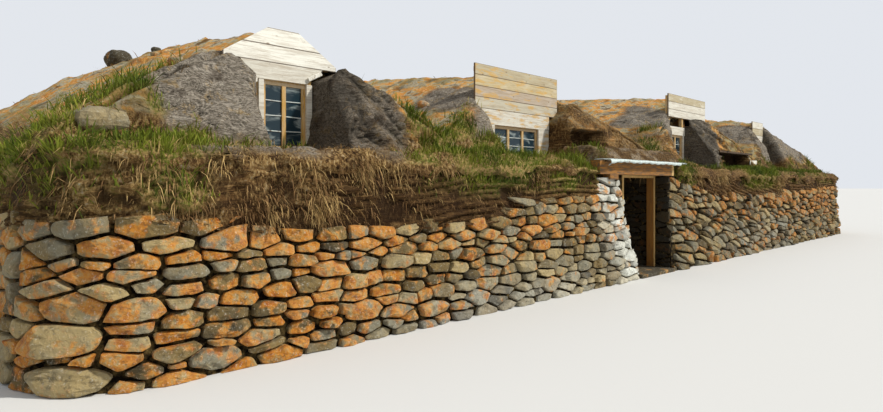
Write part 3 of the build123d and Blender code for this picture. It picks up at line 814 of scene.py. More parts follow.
def stone_outlines(centres, halves, height, walls, top_line, joint, angles, random):
    """Each stone's outline is the region nearer to its own centre than to its neighbours', in a
    metric that counts height more than length and gives long stones more room. Its radius along
    a ray d is (sum of (max(d.n, 0) / h)^p)^(-1/p) over its bounding lines of normal n and
    distance h, where a high power p keeps the corners. walls are half planes (normal_u,
    normal_v, offset) that bound every stone."""
    count = len(centres)
    metric = np.array([1.0, ANISOTROPY])
    scaled = centres * metric
    gap = scaled[None] - scaled[:, None]
    distance = np.linalg.norm(gap, axis=-1)
    np.fill_diagonal(distance, np.inf)
    near = np.argsort(distance, 1)[:, :NEIGHBOURS]
    rows = np.arange(count)[:, None]
    span = distance[rows, near]
    weight = (0.8 * halves) ** 2
    share = np.clip(0.5 + (weight[:, None] - weight[near]) / (2 * span ** 2), 0.2, 0.8)
    normal = gap[rows, near] * metric
    size = np.linalg.norm(normal, axis=-1)
    reach = share * span ** 2 / size - joint / 2 * random.uniform(0.2, 1.8, span.shape)
    lines = [normal / size[..., None]]
    reaches = [np.maximum(reach, 0.02)]
    for wall_u, wall_v, offset in walls:
        room = offset - centres @ np.array([wall_u, wall_v])
        lines.append(np.tile([wall_u, wall_v], (count, 1, 1)))
        reaches.append(np.maximum(room, 0.03)[:, None])
    room = top_line(centres[:, 0]) - centres[:, 1] + random.uniform(-0.04, 0.045, count)
    top = np.stack([random.uniform(-0.14, 0.14, count), np.ones(count)], 1)
    lines.append((top / np.linalg.norm(top, axis=1, keepdims=True))[:, None])
    reaches.append(np.maximum(room, 0.04)[:, None])
    lines, reaches = np.concatenate(lines, 1), np.concatenate(reaches, 1)
    turn = np.linspace(0, 2 * math.pi, angles, endpoint=False) + 0.05
    ray = np.stack([np.cos(turn) * halves[:, None], np.sin(turn) * (height / 2 + 0 * halves[:, None])], -1)
    ray = ray / np.linalg.norm(ray, axis=-1, keepdims=True)
    ahead = np.maximum(np.einsum("nac,nkc->nak", ray, lines), 0)
    radius = ((ahead / reaches[:, None]) ** CORNER_POWER).sum(-1) ** (-1 / CORNER_POWER)
    return ray * np.minimum(radius, LONGEST_REACH)[..., None]


def stone_bodies(rims, halves, height, proud, seed, random):
    """Stones from their outlines: rings at shares of the outline lie on the lowest of a tilted
    face and broken facets, planes that fall away beyond a share of the stone's half length,
    roughened by noise; the outer rings drop over the rim and run back into the wall."""
    count, angles = rims.shape[:2]
    flat = (rims[:, None] * np.array(FACE_RINGS)[None, :, None, None]).reshape(count, -1, 2)
    flat = np.concatenate([flat, np.zeros((count, 2, 2))], 1)
    stand = proud * random.uniform(0.5, 1.25, (count, 1))
    tilt = random.uniform(-0.2, 0.2, (count, 2))
    front = stand + (flat * tilt[:, None]).sum(-1)
    for _ in range(FACETS):
        turn = random.uniform(0, 2 * math.pi, count)
        toward = np.stack([np.cos(turn), np.sin(turn)], 1)
        reach = np.hypot(toward[:, 0] * halves, toward[:, 1] * height / 2)
        reach = reach * random.uniform(0.3, 0.85, count)
        away = (flat * toward[:, None]).sum(-1) - reach[:, None]
        front = np.minimum(front, stand - random.uniform(0.2, 0.9, (count, 1)) * away)
    number = np.arange(count)[:, None, None] * np.array([3.1, 1.7])
    spot = np.concatenate([flat + number, 0 * flat[..., :1]], -1)
    front += fractal(spot, 0.09, 3, seed) * 0.012
    front = np.maximum(front, FACE_LOWEST) - np.append(np.repeat(RIM_DROP, angles), [0.0, 0.0])
    flat = flat + np.stack([fractal(spot, 0.07, 2, seed + side) for side in (3, 5)], -1) * 0.005
    body = np.concatenate([flat, front[..., None]], -1)
    body[:, (len(FACE_RINGS) - 1) * angles:-2, 2] = STONE_BACK
    body[:, -1, 2] = STONE_BACK
    return body


# Large stones of the left front: place along it, height, and half length and height
LARGE_STONES = (
    (-8.62, 0.12, 0.4, 0.13), (-8.72, 0.38, 0.36, 0.12), (-8.6, 0.62, 0.32, 0.11), (-7.6, 0.14, 0.3, 0.13),
    (-8.05, 1.2, 0.26, 0.09), (-7.45, 1.03, 0.26, 0.09), (-6.75, 0.62, 0.24, 0.11), (-6.1, 0.3, 0.26, 0.12),
    (-5.2, 0.18, 0.25, 0.12), (-4.6, 0.72, 0.23, 0.12), (-4.55, 0.22, 0.23, 0.12), (-3.9, 0.68, 0.22, 0.1),
    (-3.1, 0.2, 0.24, 0.12),
)


def at_spot(value, spot):
    """A value that is the same everywhere or worked out from the place."""
    return value(spot) if callable(value) else value


def lay_rubble(name, region, place, rubble, finish, angles, seed, rust, pale=0.0, size=None,
               inset=0.16, large=()):
    """Lays the stones of one stretch of wall. region is (low_u, high_u, low line, top line, half
    planes); place turns distances along, up and out of the wall into points; rust and pale
    are each stone's lichen and whiteness, or give them from its place; inset is the largest
    share by which a stone is shrunk; large stones take the place of those around them."""
    random = np.random.default_rng(seed)
    low_u, high_u, low_line, top_line, walls = region
    low_v = float(low_line(np.array(low_u)))
    length, height = size or (rubble.far_length, rubble.far_course)
    centres, halves = courses(low_u, high_u, low_v, top_line, low_line, walls, length, height, random)
    for u, v, half, rise in large:
        away = (np.abs(centres[:, 0] - u) > 0.85 * half) | (np.abs(centres[:, 1] - v) > 0.85 * rise)
        centres, halves = np.append(centres[away], [[u, v]], 0), np.append(halves[away], half)
    walls = [(-1, 0, -low_u), (1, 0, high_u), (0, -1, -low_v), *walls]
    rims = stone_outlines(centres, halves, height, walls, top_line, rubble.joint, angles, random)
    rims = rims * random.uniform(1 - inset, 1.0, (len(rims), 1, 1))
    local = stone_bodies(rims, halves, height, rubble.proud, seed, random)
    local[..., :2] += centres[:, None]
    points = place(local[..., 0], local[..., 1], local[..., 2])
    points[..., 2] = np.maximum(points[..., 2], STONE_FOOT)
    count, each = points.shape[:2]
    faces = repeated(stone_faces(angles), count, each)
    spot = place(centres[:, 0], centres[:, 1], 0 * halves)
    alike = np.ones((count, each))
    values = {
        "tone": random.uniform(0, 1, count)[:, None] * alike,
        "rust": np.clip(at_spot(rust, spot) + random.uniform(-0.6, 0.5, count), -0.3, 1)[:, None] * alike,
        "pale": np.clip(at_spot(pale, spot) * random.uniform(0.4, 1.2, count), 0, 1)[:, None] * alike,
    }
    return make_piece(name, points, faces, values, finish, shade_smooth=False)


# How far the doorway's left end leans over its height, the shares of their depth that the stones
# of its left and right reveal keep, the depth of the door frame's front, and how far the stones
# stop below their line
END_SLOPE = 0.685
REVEAL_SHARES = (0.15, 0.3)
FRAME_FRONT = 0.30
STONE_FACE_LIFT = 0.02

# Places along the right front, and how far the beds of its stones have sunk from the door to there
SUNK_BEDS = ((0.58, 0.0), (4.4, 1.0), (7.5, 1.4), (13.1, 1.5))

# Places along the front and heights of the stones' top
LEFT_LINE = ((-7.8, 1.30), (-6.9, 1.14), (-3.9, 1.14), (-3.5, 1.37), (-1.9, 1.40), (-1.35, 1.68))
RIGHT_LINE = ((0.95, 1.68), (2.4, 1.35), (6.2, 1.35), (11.9, 1.53))


def front_stone_line(x):
    """Height of the top of the stones along the front, a little below the line they are drawn to."""
    x = np.asarray(x, float)
    left = np.interp(x, *zip(*LEFT_LINE))
    right = np.interp(x, *zip(*RIGHT_LINE))
    return np.where(x < 0, left, right) - STONE_FACE_LIFT


def ground_line(u):
    """The ground."""
    return 0 * np.asarray(u, float)


def sunk_beds(x):
    """How far the beds of the right front's stones have sunk."""
    return np.interp(x, *zip(*SUNK_BEDS))


def build_stones(rubble):
    """Stones of the front, the ends, the back and the two sides of the doorway."""
    finish = stone_finish(rubble)
    # The doorway's left end leans by slope for each metre of height; slant is its length for one.
    # The functions in here give a point from distances along, up and out of a wall, the lichen
    # or whiteness at a place as a base with smooth rises and falls, or the height of a line.
    slope = END_SLOPE / DOOR_TOP
    slant = math.hypot(1.0, slope)

    def along_front(u, v, w):
        return footprint.at(footprint.front(u), w, v)

    def rust_left(spot):
        x, z = spot[:, 0], spot[:, 2]
        low = smooth(-z, -0.85, -0.3)
        middle, by_door, grey = smooth(x, -5.9, -3.6), smooth(x, -3.6, -1.4), smooth(x, -6.6, -4.2)
        return 0.8 - 0.7 * middle * low - 0.35 * by_door - 0.3 * grey

    def pale_left(spot):
        return 0.85 * smooth(spot[:, 0] + slope * spot[:, 2], -1.55, -0.95) \
            + 0.22 * patch(spot[:, 0], -5.5, -2.2, 0.6) * smooth(-spot[:, 2], -0.5, -0.1)

    start = WALL_LEFT - 0.35
    door_end = (1 / slant, slope / slant, REVEAL_LEFT / slant)
    region = (start, REVEAL_LEFT, ground_line, front_stone_line, [door_end])
    lay_rubble("stones_front_left", region, along_front, rubble, finish, 34, 11, rust_left, pale_left,
               (rubble.stone_length, rubble.course), 0.18, LARGE_STONES)

    def rust_right(spot):
        x, z = spot[:, 0], spot[:, 2]
        return 0.15 + 0.4 * smooth(z, 0.5, 1.2) + 0.35 * smooth(x, 5.5, 8.5) * smooth(z, 0.6, 0.9)

    def pale_right(spot):
        return 0.15 * patch(spot[:, 0], 3.4, 7.0, 0.8) * smooth(-spot[:, 2], -1.0, -0.5)

    def along_right(u, v, w):
        return footprint.at(footprint.front(u), w, v - sunk_beds(u))

    def sunk_line(u):
        return front_stone_line(u) + sunk_beds(u)

    region = (REVEAL_RIGHT, WALL_RIGHT - CORNER_RADIUS, sunk_beds, sunk_line, [])
    # Painted shade: the right front's stones are mixed 0.14 towards the dark core colour.
    shaded = stone_finish(rubble, "shaded_stone", 0.14)
    lay_rubble("stones_front_right", region, along_right, rubble, shaded, 24, 12, rust_right, pale_right,
               (0.5, 0.102), 0.42)

    def around(u, v, w):
        return footprint.at(u, w, v)

    def level(height):
        return lambda u: 0 * u + height - STONE_FACE_LIFT

    stretches = (
        ("stones_right", FRONT_END, BACK_RIGHT, STONE_TOP_RIGHT, 13),
        ("stones_back", BACK_RIGHT, BACK_LEFT, STONE_TOP_LEFT, 14),
        ("stones_left", BACK_LEFT, footprint.length + footprint.front(start), STONE_TOP_LEFT, 15),
    )
    for name, low, high, height, seed in stretches:
        region = (low, high, ground_line, level(height), [])
        lay_rubble(name, region, around, rubble, finish, 16, seed, 0.4)

    def on_slope(u, v, w):
        return np.stack([REVEAL_LEFT - slope * v + w / slant, u, v + w * slope / slant], -1)

    def on_left_reveal(u, v, w):
        return np.stack([REVEAL_LEFT + w * REVEAL_SHARES[0], u, v], -1)

    def on_right_reveal(u, v, w):
        return np.stack([REVEAL_RIGHT - w * REVEAL_SHARES[1], -u, v], -1)

    frame_low, frame_high = FRAME_FRONT - 0.01, FRAME_FRONT + 0.15
    thin = (rubble.stone_length, rubble.course * 0.7)
    # Painted shade: the doorway's reveals and passage are mixed 0.88 towards the dark core colour.
    shaded_passage = stone_finish(rubble, "passage_stone", 0.88)
    doorway = (
        # name, low and high end, place, finish, corners of a stone, seed, whiteness, size, inset
        ("stones_door_end", 0.02, frame_low, on_slope, finish, 32, 16, 0.68, (0.19, 0.085), 0.32),
        ("stones_reveal_left", frame_high, FRONT_BACK, on_left_reveal, shaded_passage, 18, 17, 0.0, thin, 0.16),
        ("stones_reveal_right", -frame_low, -0.03, on_right_reveal, shaded_passage, 28, 18, 0.0, thin, 0.16),
        ("stones_passage_right", -FRONT_BACK, -frame_high, on_right_reveal, shaded_passage, 18, 19, 0.0, thin, 0.16),
    )
    for name, low, high, place, stone, angles, seed, pale, size, inset in doorway:
        region = (low, high, ground_line, level(DOOR_TOP), [])
        lay_rubble(name, region, place, rubble, stone, angles, seed, 0.05, pale, size, inset)
    dress([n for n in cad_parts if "stone_wall" in n], core_finish(rubble))
    dress(["threshold"], stone_finish(rubble, "threshold_stone", 0.1))


# Turf

def circle_through(a, b, c):
    """Centre and radius of the circle through three points."""
    (ax, ay), (bx, by), (cx, cy) = a, b, c
    d = 2 * (ax * (by - cy) + bx * (cy - ay) + cx * (ay - by))
    sa, sb, sc = ax * ax + ay * ay, bx * bx + by * by, cx * cx + cy * cy
    ux = (sa * (by - cy) + sb * (cy - ay) + sc * (ay - by)) / d
    uy = (sa * (cx - bx) + sb * (ax - cx) + sc * (bx - ax)) / d
    return ux, uy, math.hypot(ax - ux, ay - uy)


# Depths and heights that the hip at the back and the cheeks' front pass through, how far the
# turf stands back over the door, the share of the embrasures' splay that their foot has, and a
# height above the whole house
HIP = ((8.3, 3.95), (9.85, 3.15), (10.8, 1.86))
CHEEK = ((0.45, 1.75), (0.85, 2.52), (1.25, 3.15))
HIP_CIRCLE = circle_through(*HIP)
CHEEK_CIRCLE = circle_through(*CHEEK)
DOOR_SETBACK = 0.52
FLARE_FOOT_SHARE = 0.5
ABOVE_ALL = 9.0


class Surface(NamedTuple):
    """A grid of points with its values, for growth to stand on, and the piece it belongs to."""
    points: np.ndarray
    values: dict
    piece: bpy.types.Object


def lay_turf(name, points, outward, values, finish):
    """Makes a piece of turf from a grid of points that face outward on the whole."""
    piece = make_piece(name, points, facing(points, outward), values, finish)
    return Surface(points, values, piece)


class TurfShape:
    """Heights of the turf over the plan, worked out from the frame and the settings."""

    def __init__(self, turf):
        self.turf = turf
        self.gables = [read_gable(number, turf.rise) for number in GABLE_GAPS]
        self.edges = [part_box("roof_turf_1_left")[0].x]
        self.edges += [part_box(f"roof_turf_{gable.number}_right")[1].x for gable in self.gables]

    def mound(self, x, y):
        """Height of the mounds: a straight line from each foot to the ridge, raised by four
        times the bulge times t(1 - t), plus the climb towards the back, under the back hip."""
        turf = self.turf
        knots, heights = [self.edges[0]], [turf.eaves]
        for gable, edge in zip(self.gables, self.edges[1:]):
            knots += [gable.ridge_x, edge]
            heights += [gable.ridge_top, turf.valley]
        heights[-1] = turf.eaves
        line = np.interp(x, knots, heights)
        part = np.interp(x, knots, np.arange(len(knots)))
        part = part - np.floor(part)
        climb = turf.rise * np.clip((y - GABLE_PLANE) / (turf.rise_end - GABLE_PLANE), 0, 1)
        over = line + 4 * turf.bulge * part * (1 - part) + climb
        centre_y, centre_z, radius = HIP_CIRCLE
        hip = centre_z + np.sqrt(np.maximum(radius ** 2 - (y - centre_y) ** 2, 0))
        hip = np.where(y < HIP[0][0], ABOVE_ALL, hip)
        return np.minimum(over, hip)

    def shoulder(self, height):
        """Depth at which the cheeks reach a height: a point on their circle."""
        centre_y, centre_z, radius = CHEEK_CIRCLE
        height = np.clip(height, CHEEK[0][1], CHEEK[2][1])
        return centre_y - np.sqrt(np.maximum(radius ** 2 - (height - centre_z) ** 2, 0))

    def front_edge(self, x):
        """Depth of the wall top's front edge: level along the front, round at the corners, and
        set back behind the sheet over the door."""
        radius = CORNER_RADIUS - BATTER
        turn = np.maximum(WALL_LEFT + CORNER_RADIUS - x, x - (WALL_RIGHT - CORNER_RADIUS))
        turn = np.clip(turn, 0, radius)
        edge = FRONT_FACE + BATTER + radius - np.sqrt(radius ** 2 - turn ** 2)
        return edge + (DOOR_SETBACK - edge) * patch(x, -1.85, 0.98, 0.06)

    def gap_edges(self, gable, y, z):
        """Left and right edges of the gap in the turf round a window, at a depth and height:
        the left one leans and splays towards the front."""
        levels = [gable.apron_low, gable.panel_low - 0.01, gable.panel_low + 0.01]
        left = np.interp(z, levels, [gable.foot[0], gable.head[0], gable.panel[0] - 0.01])
        right = np.interp(z, levels, [gable.foot[1], gable.head[1], gable.panel[1] + 0.01])
        ahead = np.clip(GABLE_PLANE - y, 0, None)
        lean = FLARE_FOOT_SHARE + (1 - FLARE_FOOT_SHARE) * smooth(z, WALL_TOP, gable.apron_low)
        return left - gable.flare * ahead * lean, right + 0.05 * ahead

    def splayed(self, place, y, z):
        """Carries places along the front, laid out for the embrasures' feet, to where their
        edges lie at a depth and height; what lies between is stretched evenly."""
        x = place + 0 * y
        for index, gable in enumerate(self.gables):
            left, right = self.gap_edges(gable, y, z)
            knots = (self.edges[index], gable.foot[0], gable.foot[1], self.edges[index + 1])
            x = x + (left - knots[1]) * np.interp(place, knots[:3], [0, 1, 0])
            x = x + (right - knots[2]) * np.interp(place, knots[1:], [0, 1, 0])
        return x


# Stretches under netting: left and right ends at their foot, left and right ends at NET_TOP,
# height of the foot, share of shadow in the folds, how far back they reach, and their strength
NET_ZONES = (
    (-8.0, -6.4, -7.6, -6.5, 1.85, 0.0, 1.3, 1.0),
    (-5.97, -5.5, -5.97, -5.55, 1.8, 1.0, 1.4, 0.8),
    (-5.55, -5.1, -5.6, -5.2, 1.9, 0.6, 1.4, 0.9),
    (-3.8, -2.3, -3.7, -2.9, 2.15, 0.05, 2.2, 0.95),
    (2.3, 3.5, 1.9, 3.25, 2.3, 0.1, 2.2, 1.0),
    (3.85, 4.2, 3.85, 5.05, 1.95, 0.9, 1.4, 1.0),
    (7.5, 8.55, 7.3, 8.45, 2.15, 0.1, 2.2, 1.0),
    (9.1, 11.5, 9.1, 10.5, 2.28, 0.4, 1.8, 1.0),
)
NET_TOP = 3.0

# Green patches: left and right ends, front and back ends, and their strength
GREEN_ZONES = (
    (-9.2, -8.2, -0.3, 2.0, 0.75),
    (-8.3, -7.5, -0.1, 0.75, 0.95),
    (-8.6, -7.3, 0.8, 2.4, 0.3),
    (-7.5, -6.6, 0.2, 0.65, 0.45),
    (-5.5, -3.0, -0.1, 0.85, 0.95),
    (-2.5, -1.4, -0.1, 0.5, 0.95),
    (0.7, 2.3, 0.4, 1.4, 0.6),
    (2.9, 3.4, 0.1, 0.7, 0.6),
    (5.0, 12.0, 0.1, 0.6, 0.7),
)


def upright(points):
    """How far each point of a grid faces up: 1 on the level, 0 on a wall."""
    normals = np.cross(np.gradient(points, axis=1), np.gradient(points, axis=0))
    return np.abs(normals[..., 2]) / np.maximum(np.linalg.norm(normals, axis=-1), 1e-9)


def net_shares(x, y, z, wobble):
    """The share of netting over the turf and that of shadow in its folds, zone by zone."""
    net, dark = np.zeros_like(x), np.zeros_like(x)
    for low_foot, high_foot, low_top, high_top, foot, shadow, reach, strength in NET_ZONES:
        rise = np.clip((z - foot) / (NET_TOP - foot), 0, 1)
        low = low_foot + (low_top - low_foot) * rise
        high = high_foot + (high_top - high_foot) * rise
        back = 1 - smooth(y + wobble, reach - 0.1, reach + 0.15)
        share = patch(x + wobble, low, high, 0.08) * smooth(z + wobble, foot - 0.08, foot + 0.08) * back
        net = np.maximum(net, share * strength)
        dark = np.maximum(dark, share * shadow)
    return net, dark


def green_share(points, level, wobble):
    """The share of green: patches on level turf, and stretches along the lip."""
    x, y, z = np.moveaxis(points, -1, 0)
    green = np.zeros_like(x)
    for low, high, front, back, strength in GREEN_ZONES:
        share = patch(x + wobble, low, high, 0.2) * patch(y + wobble, front, back, 0.2)
        green = np.maximum(green, share * strength)
    green = green * smooth(fractal(points, 0.4, 3, 72), -0.3, 0.25)
    green = green * smooth(z, WALL_TOP - 0.1, WALL_TOP) * smooth(level, 0.15, 0.4)
    lip = patch(x + wobble, -4.9, -3.2, 0.3) * (y + wobble < 0.45)
    far_lip = np.maximum(patch(x + 3 * wobble, 4.2, 6.6, 0.5), patch(x + wobble, 0.95, 1.5, 0.2))
    lip = np.maximum(lip, far_lip * (y + wobble < 0.5))
    return np.maximum(green, 0.85 * lip * smooth(z, WALL_TOP - 0.4, WALL_TOP - 0.2))


def turf_values(points):
    """The shares of moss, netting, shadow, straw and green over the turf, from the place and
    the slope."""
    x, y, z = np.moveaxis(points, -1, 0)
    level = upright(points)
    wobble = fractal(points, 0.5, 3, 71) * 0.16
    net, dark = net_shares(x, y, z, wobble)
    green = green_share(points, level, wobble)
    moss = smooth(z, WALL_TOP + 0.15, WALL_TOP + 0.5) * (1 - net) * smooth(level, 0.35, 0.7)
    straw = smooth(z + wobble * 0.3, WALL_TOP - 0.16, WALL_TOP - 0.04)
    straw = straw * (1 - smooth(z, WALL_TOP + 0.2, WALL_TOP + 0.5)) * (1 - net)
    thin = 0.5 + 0.5 * smooth(fractal(points, 0.5, 3, 75), -0.1, 0.3)
    straw = straw * (1 - thin * smooth(x, 0.6, 1.6) * smooth(-y, -2.0, -1.4))
    # Random patches of painted shade, standing for hollows in the turf.
    deep = smooth(-fractal(points, 0.2, 3, 73), 0.35, 0.8) * 0.7
    tangle = patch(x, -1.3, 1.9, 0.3) * smooth(-y - wobble, -1.6, -1.2)
    moss = moss * (1 - 0.35 * smooth(green, 0.2, 0.6)) * (1 - 0.75 * tangle)
    straw = np.maximum(straw, 0.55 * tangle * smooth(fractal(points, 0.3, 3, 74), -0.3, 0.3))
    green = green * (1 - net)
    return {"moss": moss, "net": net, "dark": dark, "straw": straw, "green": green, "deep": deep}


def lift(values, key, share):
    """Raises one of the turf's shares to another share where that is larger."""
    values[key] = np.maximum(values[key], share)


def lumps(points, amount, seed):
    """Heights of the lumps: broad swells, tussocks and small clods."""
    broad = fractal(points, 1.6, 2, seed) * 0.7
    tussock = np.abs(fractal(points, 0.42, 3, seed + 3)) * 1.1
    clods = fractal(points, 0.12, 2, seed + 6) * 0.3
    return amount * (broad + tussock + clods)


def torn_share(x, y):
    """1 on the left front, where the cut face is torn and lumpy, and 0 elsewhere."""
    return smooth(-x, 6.3, 7.3) * (y < FACE_DEPTH)


def layered(points, turf, over):
    """How far cut turf stands out: each layer, whose height wanders along the wall, bulges by
    sin(pi t)^0.7 over its thickness, by an amount that differs along it, and falls back to the
    wall in hollows. Where the face is torn the layers wander more and stand out less, and clods,
    0.06 times the size of a noise, take their place."""
    x, y, z = np.moveaxis(points, -1, 0)
    plan = np.stack([x, y, 0 * z], -1)
    beds = sunk_beds(x) * (y < FACE_DEPTH)
    torn = torn_share(x, y)
    wander = 0.07 * fractal(plan, 1.1, 2, 34) + 0.11 * torn * fractal(points, 0.5, 3, 41)
    level = (z + beds + wander) / turf.stratum
    number = np.floor(level)
    thick = 0.5 + 0.5 * fractal(np.stack([x, y, number * 0.9], -1), 0.3, 2, 33)
    ledge = np.sin(math.pi * (level - number)) ** 0.7 * (0.15 + thick)
    hollow = smooth(fractal(np.stack([x, y, z * 1.8], -1), 0.42, 3, 35), 0.15, 0.6)
    clods = 0.06 * torn * np.abs(fractal(points, 0.2, 3, 42))
    ledge = turf.ledge * ledge * (1 - 0.35 * torn) * (1 - 0.95 * hollow)
    return 0.01 + (ledge + clods * (1 - 0.6 * hollow)) * (1 - over)


# Green that hangs over the cut face: left and right ends, softness of the ends, and the heights
# over which it grows dense
HANGING = (
    (-20.0, -8.325, 0.175, 1.2, 1.5),
    (-5.1, -1.9, 0.5, 1.3, 1.5),
    (7.6, 12.2, 0.5, 1.5, 1.7),
)


def band_values(points, x, y, z, stand, over):
    """The turf's shares on the cut face: painted shade between its layers and in the torn part's
    holes, dark on a bare stretch of peat, straw over the torn part, and green that hangs over the
    face."""
    values = turf_values(points)
    face = 1 - smooth(over, 0, 0.3)
    # Painted shade where the layers stand out little, and in the torn part's holes.
    deep = (1 - smooth(stand, 0.014, 0.045)) * face
    holes = smooth(-fractal(points, 0.24, 3, 43), 0.05, 0.45) * torn_share(x, y)
    bare = patch(x, -6.5, -3.4, 0.4) * (y < FACE_DEPTH) * (1 - smooth(over, 0, 0.1))
    values["deep"] = np.maximum(np.maximum(deep, 0.8 * holes * face), 0.5 * bare)
    tangle = smooth(fractal(points, 0.35, 3, 36), -0.25, 0.35) * smooth(-x, 6.2, 6.9)
    lift(values, "straw", 0.9 * tangle)
    growing = 0.2 + 0.8 * smooth(fractal(points, 0.35, 3, 39), -0.3, 0.2)
    for low, high, edge, foot, top in HANGING:
        hanging = patch(x, low, high, edge) * (y < HANGING_DEPTH) * smooth(z, foot, top)
        lift(values, "green", hanging * growing)
    lift(values, "green", patch(x, -8.05, -7.7, 0.2) * (y < FACE_DEPTH) * smooth(z, 1.25, 1.35))
    return values


# Rows of the band, the share of them that climb the face, and how far the rest runs in over the
# wall top
BAND_ROWS = 58
FACE_SHARE = 0.72
RUN_IN = 0.62


def build_band(finish, turf):
    """The cut turf over the stones: a profile carried round the walls. From the stones it
    climbs the battered face in layers, rolls over a drooping lip and runs in over the wall
    top."""
    rise = np.linspace(0, 1, BAND_ROWS)[:, None]
    face = np.clip(rise / FACE_SHARE, 0, 1)
    over = np.clip((rise - FACE_SHARE) / (1 - FACE_SHARE), 0, 1)
    left = footprint.front(WALL_LEFT + CORNER_RADIUS)
    pieces = (
        # name, where it starts and ends along the path, and the spacing of its columns
        ("turf_band_front_left", left - 0.6, footprint.front(-1.78), 0.028),
        ("turf_band_front_right", footprint.front(0.97), FRONT_END + 0.2, 0.05),
        ("turf_band_right", FRONT_END + 0.15, BACK_RIGHT, 0.08),
        ("turf_band_back", BACK_RIGHT - 0.05, BACK_LEFT, 0.08),
        ("turf_band_left", BACK_LEFT - 0.05, footprint.length + left - 0.5, 0.07),
    )
    surfaces = []
    for name, low, high, step in pieces:
        along = np.linspace(low, high, max(int((high - low) / step), 2))[None] + 0 * rise
        flat = footprint.at(along, 0 * along, 0 * along)
        x, y = flat[..., 0], flat[..., 1]
        if "front" in name:
            foot = np.minimum(front_stone_line(x), WALL_TOP - 0.12)
        else:
            foot = 0 * x + (STONE_TOP_RIGHT if name == "turf_band_right" else STONE_TOP_LEFT)
        foot = foot - 0.07 - 0.03 * fractal(flat, 0.3, 2, 31)
        z = foot + (WALL_TOP - foot) * face + 0.04 * np.sin(over * math.pi / 2)
        stand = layered(np.stack([x, y, z], -1), turf, over)
        out = stand - over * RUN_IN
        points = footprint.at(along, out, z)
        swell = np.maximum(lumps(points, turf.lump * 0.7, 37), 0) * smooth(rise, 0.05, 0.3)
        points = footprint.at(along, out + swell * (1 - over), z + swell * over)
        outward = [0.0, -1.0, 0.4] if "front" in name else points.mean((0, 1)) - HOUSE_MIDDLE
        surfaces.append(lay_turf(name, points, outward, band_values(points, x, y, z, stand, over), finish))
    return surfaces


# Columns at an embrasure's edge, radius of its lip, the rows of the droop, the shelf, the
# cheeks and the way in behind them, and the lowest height of the shelf
WALL_COLUMNS = 12
LIP = 0.13
DROOP_ROWS = 9
SHELF_ROWS = 12
CHEEK_ROWS = 40
BEHIND_ROWS = 6
SHELF_FOOT = WALL_TOP + 0.05


def front_columns(shape, step):
    """Columns of the front skin: their places along the front, their share of the cheeks'
    height, which falls to 0 over the columns that stand at an embrasure's edge, and the
    number of that edge, or -1."""
    ends = [shape.edges[0] - 0.08] + [edge for gable in shape.gables for edge in gable.foot]
    ends.append(shape.edges[-1] + 0.08)
    place, share, edge = [], [], []

    def add(places, shares, edges):
        place.append(places)
        share.append(shares + 0 * places)
        edge.append(edges + 0 * places)

    fall = np.linspace(1, 0, WALL_COLUMNS)
    for index in range(len(ends) - 1):
        count = max(int((ends[index + 1] - ends[index]) / step), 6)
        inside = np.linspace(ends[index], ends[index + 1], count)[1:-1]
        add(inside, float(index % 2 == 0), -1)
        if index < len(ends) - 2:
            falling = fall if index % 2 == 0 else fall[::-1]
            add(ends[index + 1] + 0 * fall, falling, index)
    return np.concatenate(place), np.concatenate(share), np.concatenate(edge)


def front_profile(shape, x):
    """Depths and heights of the front skin's rows before the mounds bound them: a drooping
    edge, the shelf, the cheeks' circle, and the way in under the roof skin."""
    edge = shape.front_edge(x)[None]
    centre_y, centre_z, radius = CHEEK_CIRCLE
    start, end = (math.atan2(z - centre_z, y - centre_y) % (2 * math.pi) for y, z in (CHEEK[0], CHEEK[2]))
    t = np.linspace(0, 1, DROOP_ROWS, endpoint=False)[:, None]
    ragged = 0.5 + 0.5 * fractal(np.stack([x, 0 * x, 0 * x], -1), 0.22, 3, 43)[None]
    droop_y = edge - 0.05 - 0.035 * np.sin(t * math.pi)
    droop_z = WALL_TOP + 0.03 - (0.05 + 0.16 * ragged) * (1 - t)
    t = np.linspace(0, 1, SHELF_ROWS, endpoint=False)[:, None]
    shoulder = np.maximum(CHEEK[0][0], edge + 0.02)
    shelf_y = edge + (shoulder - edge) * t
    t = np.linspace(0, 1, CHEEK_ROWS)[:, None]
    turn = start + (end - start) * t
    reach = (centre_y + radius * np.cos(turn) - CHEEK[0][0]) / (CHEEK[2][0] - CHEEK[0][0])
    cheek_y = shoulder + (CHEEK[2][0] - shoulder) * reach
    cheek_z = centre_z + radius * np.sin(turn) + 0 * edge
    t = np.linspace(0, 1, BEHIND_ROWS + 1)[1:, None]
    behind_y = CHEEK[2][0] + (ROOF_FRONT + 0.05 - CHEEK[2][0]) * t + 0 * edge
    y = np.concatenate([droop_y, shelf_y, cheek_y, behind_y])
    rise = np.concatenate([droop_z, 0 * shelf_y + WALL_TOP, cheek_z, 0 * behind_y + ABOVE_ALL])
    on_edge = np.concatenate([1 + 0 * droop_y, 0 * shelf_y, 0 * cheek_y, 0 * behind_y]) > 0
    return y, rise, on_edge


# Upright faces set back in the cheeks: left and right ends, height below which the face stands
# back, and its depth. The first is the hatch under its plank, the second the cut turf by the
# second window.
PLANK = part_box("hatch_plank")
SUNK_FACES = (
    (PLANK[0].x + 0.17, PLANK[1].x - 0.22, PLANK[0].z + 0.02, 0.97),
    (-1.34, -0.45, 2.42, 1.08),
)


